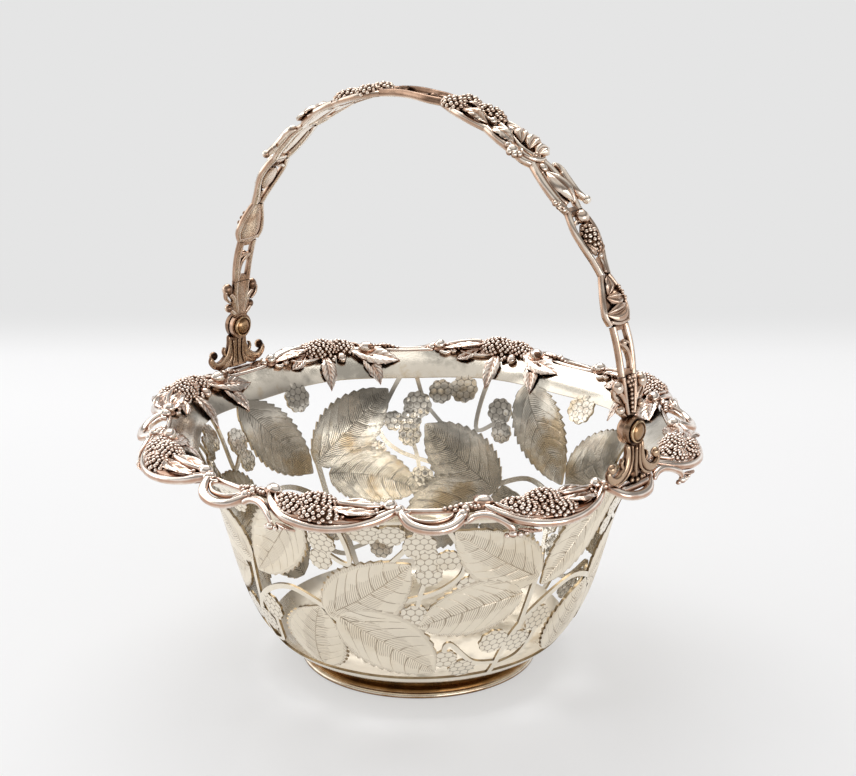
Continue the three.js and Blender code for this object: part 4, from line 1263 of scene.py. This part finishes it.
def berryPairShells():
    # three berries, a stem and a leaf on a broad plate
    return [
        panel([(152.2, 0), (166, 0), (180.8, 0)], [13, 16.5, 17.5, 16.5, 10], 0.35, 0.5),
        strap([(152.2, 7.4), (160, 9.4), (170, 9), (180.8, 4.6)], [2.6, 2, 2, 3], 1.5),
        strap([(152.2, -7.2), (160, -9.2), (170, -9.4), (180.8, -4.6)], [2.6, 2, 2, 3], 1.5),
        berry(159.8, -4.3, 0.6, 7.8, 5.2, 3.6, 1.2, 4),
        berry(172.4, -4.2, 0.7, 6.2, 4.9, 3.5, 1.2, -10),
        berry(173.8, 4, 0.7, 6.8, 5, 3.5, 1.2, -12),
        leaf([(153.4, 5.4), (159, 6.8), (167.6, 5.6)], 10, [1.6, 2.6, 1.8],
             1.6, 6, 0.2, 1.4, 1.6, veins=4),
        strap([(152.2, 0.6), (157, 1.6), (163, 1), (168, -0.8)], [3, 2, 1.8, 1.2], 2.6),
        bar([(163, 1.2), (166.6, 3), (168.4, 4.2)], [1.8, 1.6, 1.2], 2.8),
        leaf([(163, -0.8), (167, 0.4), (170.6, -0.6)], 3.6, [2.4, 3.6, 2.8], 1.2, 2, 0.08, 1, 0.8,
             veins=2, steps=24),
        ball(153.8, 1.4, 1.8, 1.7),
    ]


def centreLinkShells():
    # one half of the link and the same half turned round the arch's middle, darkened on top as
    # painted dark reflection
    points, faces, tones = joinShells([
        strap([(181.2, 4.6), (187, 6.6), (195, 6.2), (206, 4.8), (212, 5), (217.8, 4.6)],
              [3, 2.6, 2.4, 2.2, 2.4, 3], 2.2, steps=60),
        bar(volute(187.6, 3.2, 3.1, 90, 1.35, -1), 1.3, 2.2, 0.2, 1.4, 30),
        ball(187.6, 3.2, 1.4, 1.3),
        panel([(181.2, 0), (183.4, 0)], [10, 7], 0.5, 1),
        bar([(183, -1.4), (186.4, 0.6)], [2.4, 1.4], 1.8),
    ])
    # painted dark reflection: points on top of the link are darkened, a little more on the turned
    # half
    top = points[:, 2] > -0.6
    opposite = points * [-1, -1, 1] + [2 * bail["drawnHalf"], 0, 0]
    return [(points, faces, np.clip(tones + 0.8 * top, 0, 1)),
            (opposite, faces, np.clip(tones + top, 0, 1))]


def makeBail():
    sections = {"shield": shieldShells, "strut": strutShells, "leaf": leafShells,
                "berry_frame": berryFrameShells, "acanthus": acanthusShells,
                "scrollwork": scrollworkShells, "berry_pair": berryPairShells}
    for name, shells in sections.items():
        points, faces, tones = joinShells(bent(onArch, shells()))
        shell = points, faces, np.clip(tones + bail["browned"].get(name, 0), 0, 1)
        for side, turn in (("right", 0), ("left", 180)):
            makePiece("handle_" + name + "_" + side, spun(shell, turn), "bail",
                      "bail_" + name + "_" + side, [handleSilver])
    makePiece("handle_centre", joinShells(bent(onArch, centreLinkShells())), "bail",
              "bail_centre_link", [handleSilver])


makeBail()
print("bail made")

# Stage

stage = {
    "target": (0.00337, 0.00303, 0.1326),
    "camera": (0.6088, -0.6698, 0.4204),
    "lens": 85.28,
    "floorHalf": 6,
    "floor": "#eff0f2",
    "backdrop": "#e5e5e5",
    "near": "#f6f6f6",
    "lift": 0.5,
    "fade": (0.36, 0.62),
    "walls": "#fbfbfd",
    "shade": "#8a8785",
    "ceiling": "#dddad7",
    "softboxes": {"topSoftbox": [(-0.66, 0.5, 1.35), (0, 0, 0.1), 1.3, 1, 13],
                  "leftSoftbox": [(-1.3, -0.6, 0.8), (0, 0, 0.12), 1.4, 1.4, 7],
                  "frontFill": [(2, -0.3, 0.35), (0, 0, 0.12), 1.6, 0.8, 11]},
}


def aimAt(thing, place, target):
    thing.location = place
    thing.rotation_euler = (Vector(target) - Vector(place)).to_track_quat("-Z", "Y").to_euler()


def makeCamera():
    camera = addObject("camera", bpy.data.cameras.new("camera"))
    aimAt(camera, stage["camera"], stage["target"])
    camera.data.lens = stage["lens"]
    camera.data.sensor_width = 36
    camera.data.sensor_fit = "HORIZONTAL"
    camera.data.clip_start, camera.data.clip_end = 0.01, 60
    bpy.context.scene.camera = camera


def isRay(tree, *kinds):
    # 1 for rays of either kind
    path = addNode(tree, "ShaderNodeLightPath").outputs
    return calc(tree, "MAXIMUM", *(path[kind] for kind in kinds))


def mixedShader(tree, share, first, second):
    return addNode(tree, "ShaderNodeMixShader",
                   {0: share, 1: first.outputs[0], 2: second.outputs[0]}).outputs[0]


def makeFloor():
    # pale paper that fades to the backdrop away from the camera, and glows where it is seen
    half = stage["floorHalf"]
    mesh = bpy.data.meshes.new("floor")
    corners = [(-half, -half, 0), (half, -half, 0), (half, half, 0), (-half, half, 0)]
    mesh.from_pydata(corners, [], [(0, 1, 2, 3)])
    addObject("floor", mesh)
    material, tree, place = startMaterial("paleFloor")
    back = unit(-np.array([*stage["camera"][:2], 0]))
    depth = addNode(tree, "ShaderNodeVectorMath",
                    {"operation": "DOT_PRODUCT", 0: place, 1: tuple(back)})
    far = stepUp(tree, depth.outputs["Value"], *stage["fade"])
    paper = addNode(tree, "ShaderNodeBsdfDiffuse", {"Color": stage["floor"]})
    glow = addNode(tree, "ShaderNodeEmission",
                   {"Color": blend(tree, far, stage["near"], stage["backdrop"])})
    seen = calc(tree, "MULTIPLY", calc(tree, "MAXIMUM", far, stage["lift"]),
                isRay(tree, "Is Camera Ray", "Is Glossy Ray"))
    addNode(tree, "ShaderNodeOutputMaterial", {"Surface": mixedShader(tree, seen, paper, glow)})
    mesh.materials.append(material)


def makeRoom():
    # what the silver mirrors: bright low walls, a darker band above them and a pale ceiling
    world = bpy.data.worlds.new("studio")
    bpy.context.scene.world = world
    tree = newTree(world)
    direction = addNode(tree, "ShaderNodeTexCoord").outputs["Generated"]
    rise = addNode(tree, "ShaderNodeSeparateXYZ", {0: direction}).outputs[2]
    room = blend(tree, stepUp(tree, rise, 0.12, 0.45), stage["walls"], stage["shade"])
    room = blend(tree, stepUp(tree, rise, 0.6, 0.85), room, stage["ceiling"])
    light, shown = (addNode(tree, "ShaderNodeBackground", {"Color": look})
                    for look in (room, stage["backdrop"]))
    seen = isRay(tree, "Is Camera Ray", "Is Transmission Ray")
    addNode(tree, "ShaderNodeOutputWorld", {"Surface": mixedShader(tree, seen, light, shown)})


def makeSoftbox(name, place, target, width, height, power):
    lamp = bpy.data.lights.new(name, "AREA")
    lamp.shape = "RECTANGLE"
    lamp.size, lamp.size_y = width, height
    lamp.energy = power
    aimAt(addObject(name, lamp), place, target)


makeCamera()
makeFloor()
makeRoom()
for name, values in stage["softboxes"].items():
    makeSoftbox(name, *values)
print("stage made")

bpy.context.scene.view_settings.view_transform = "Standard"
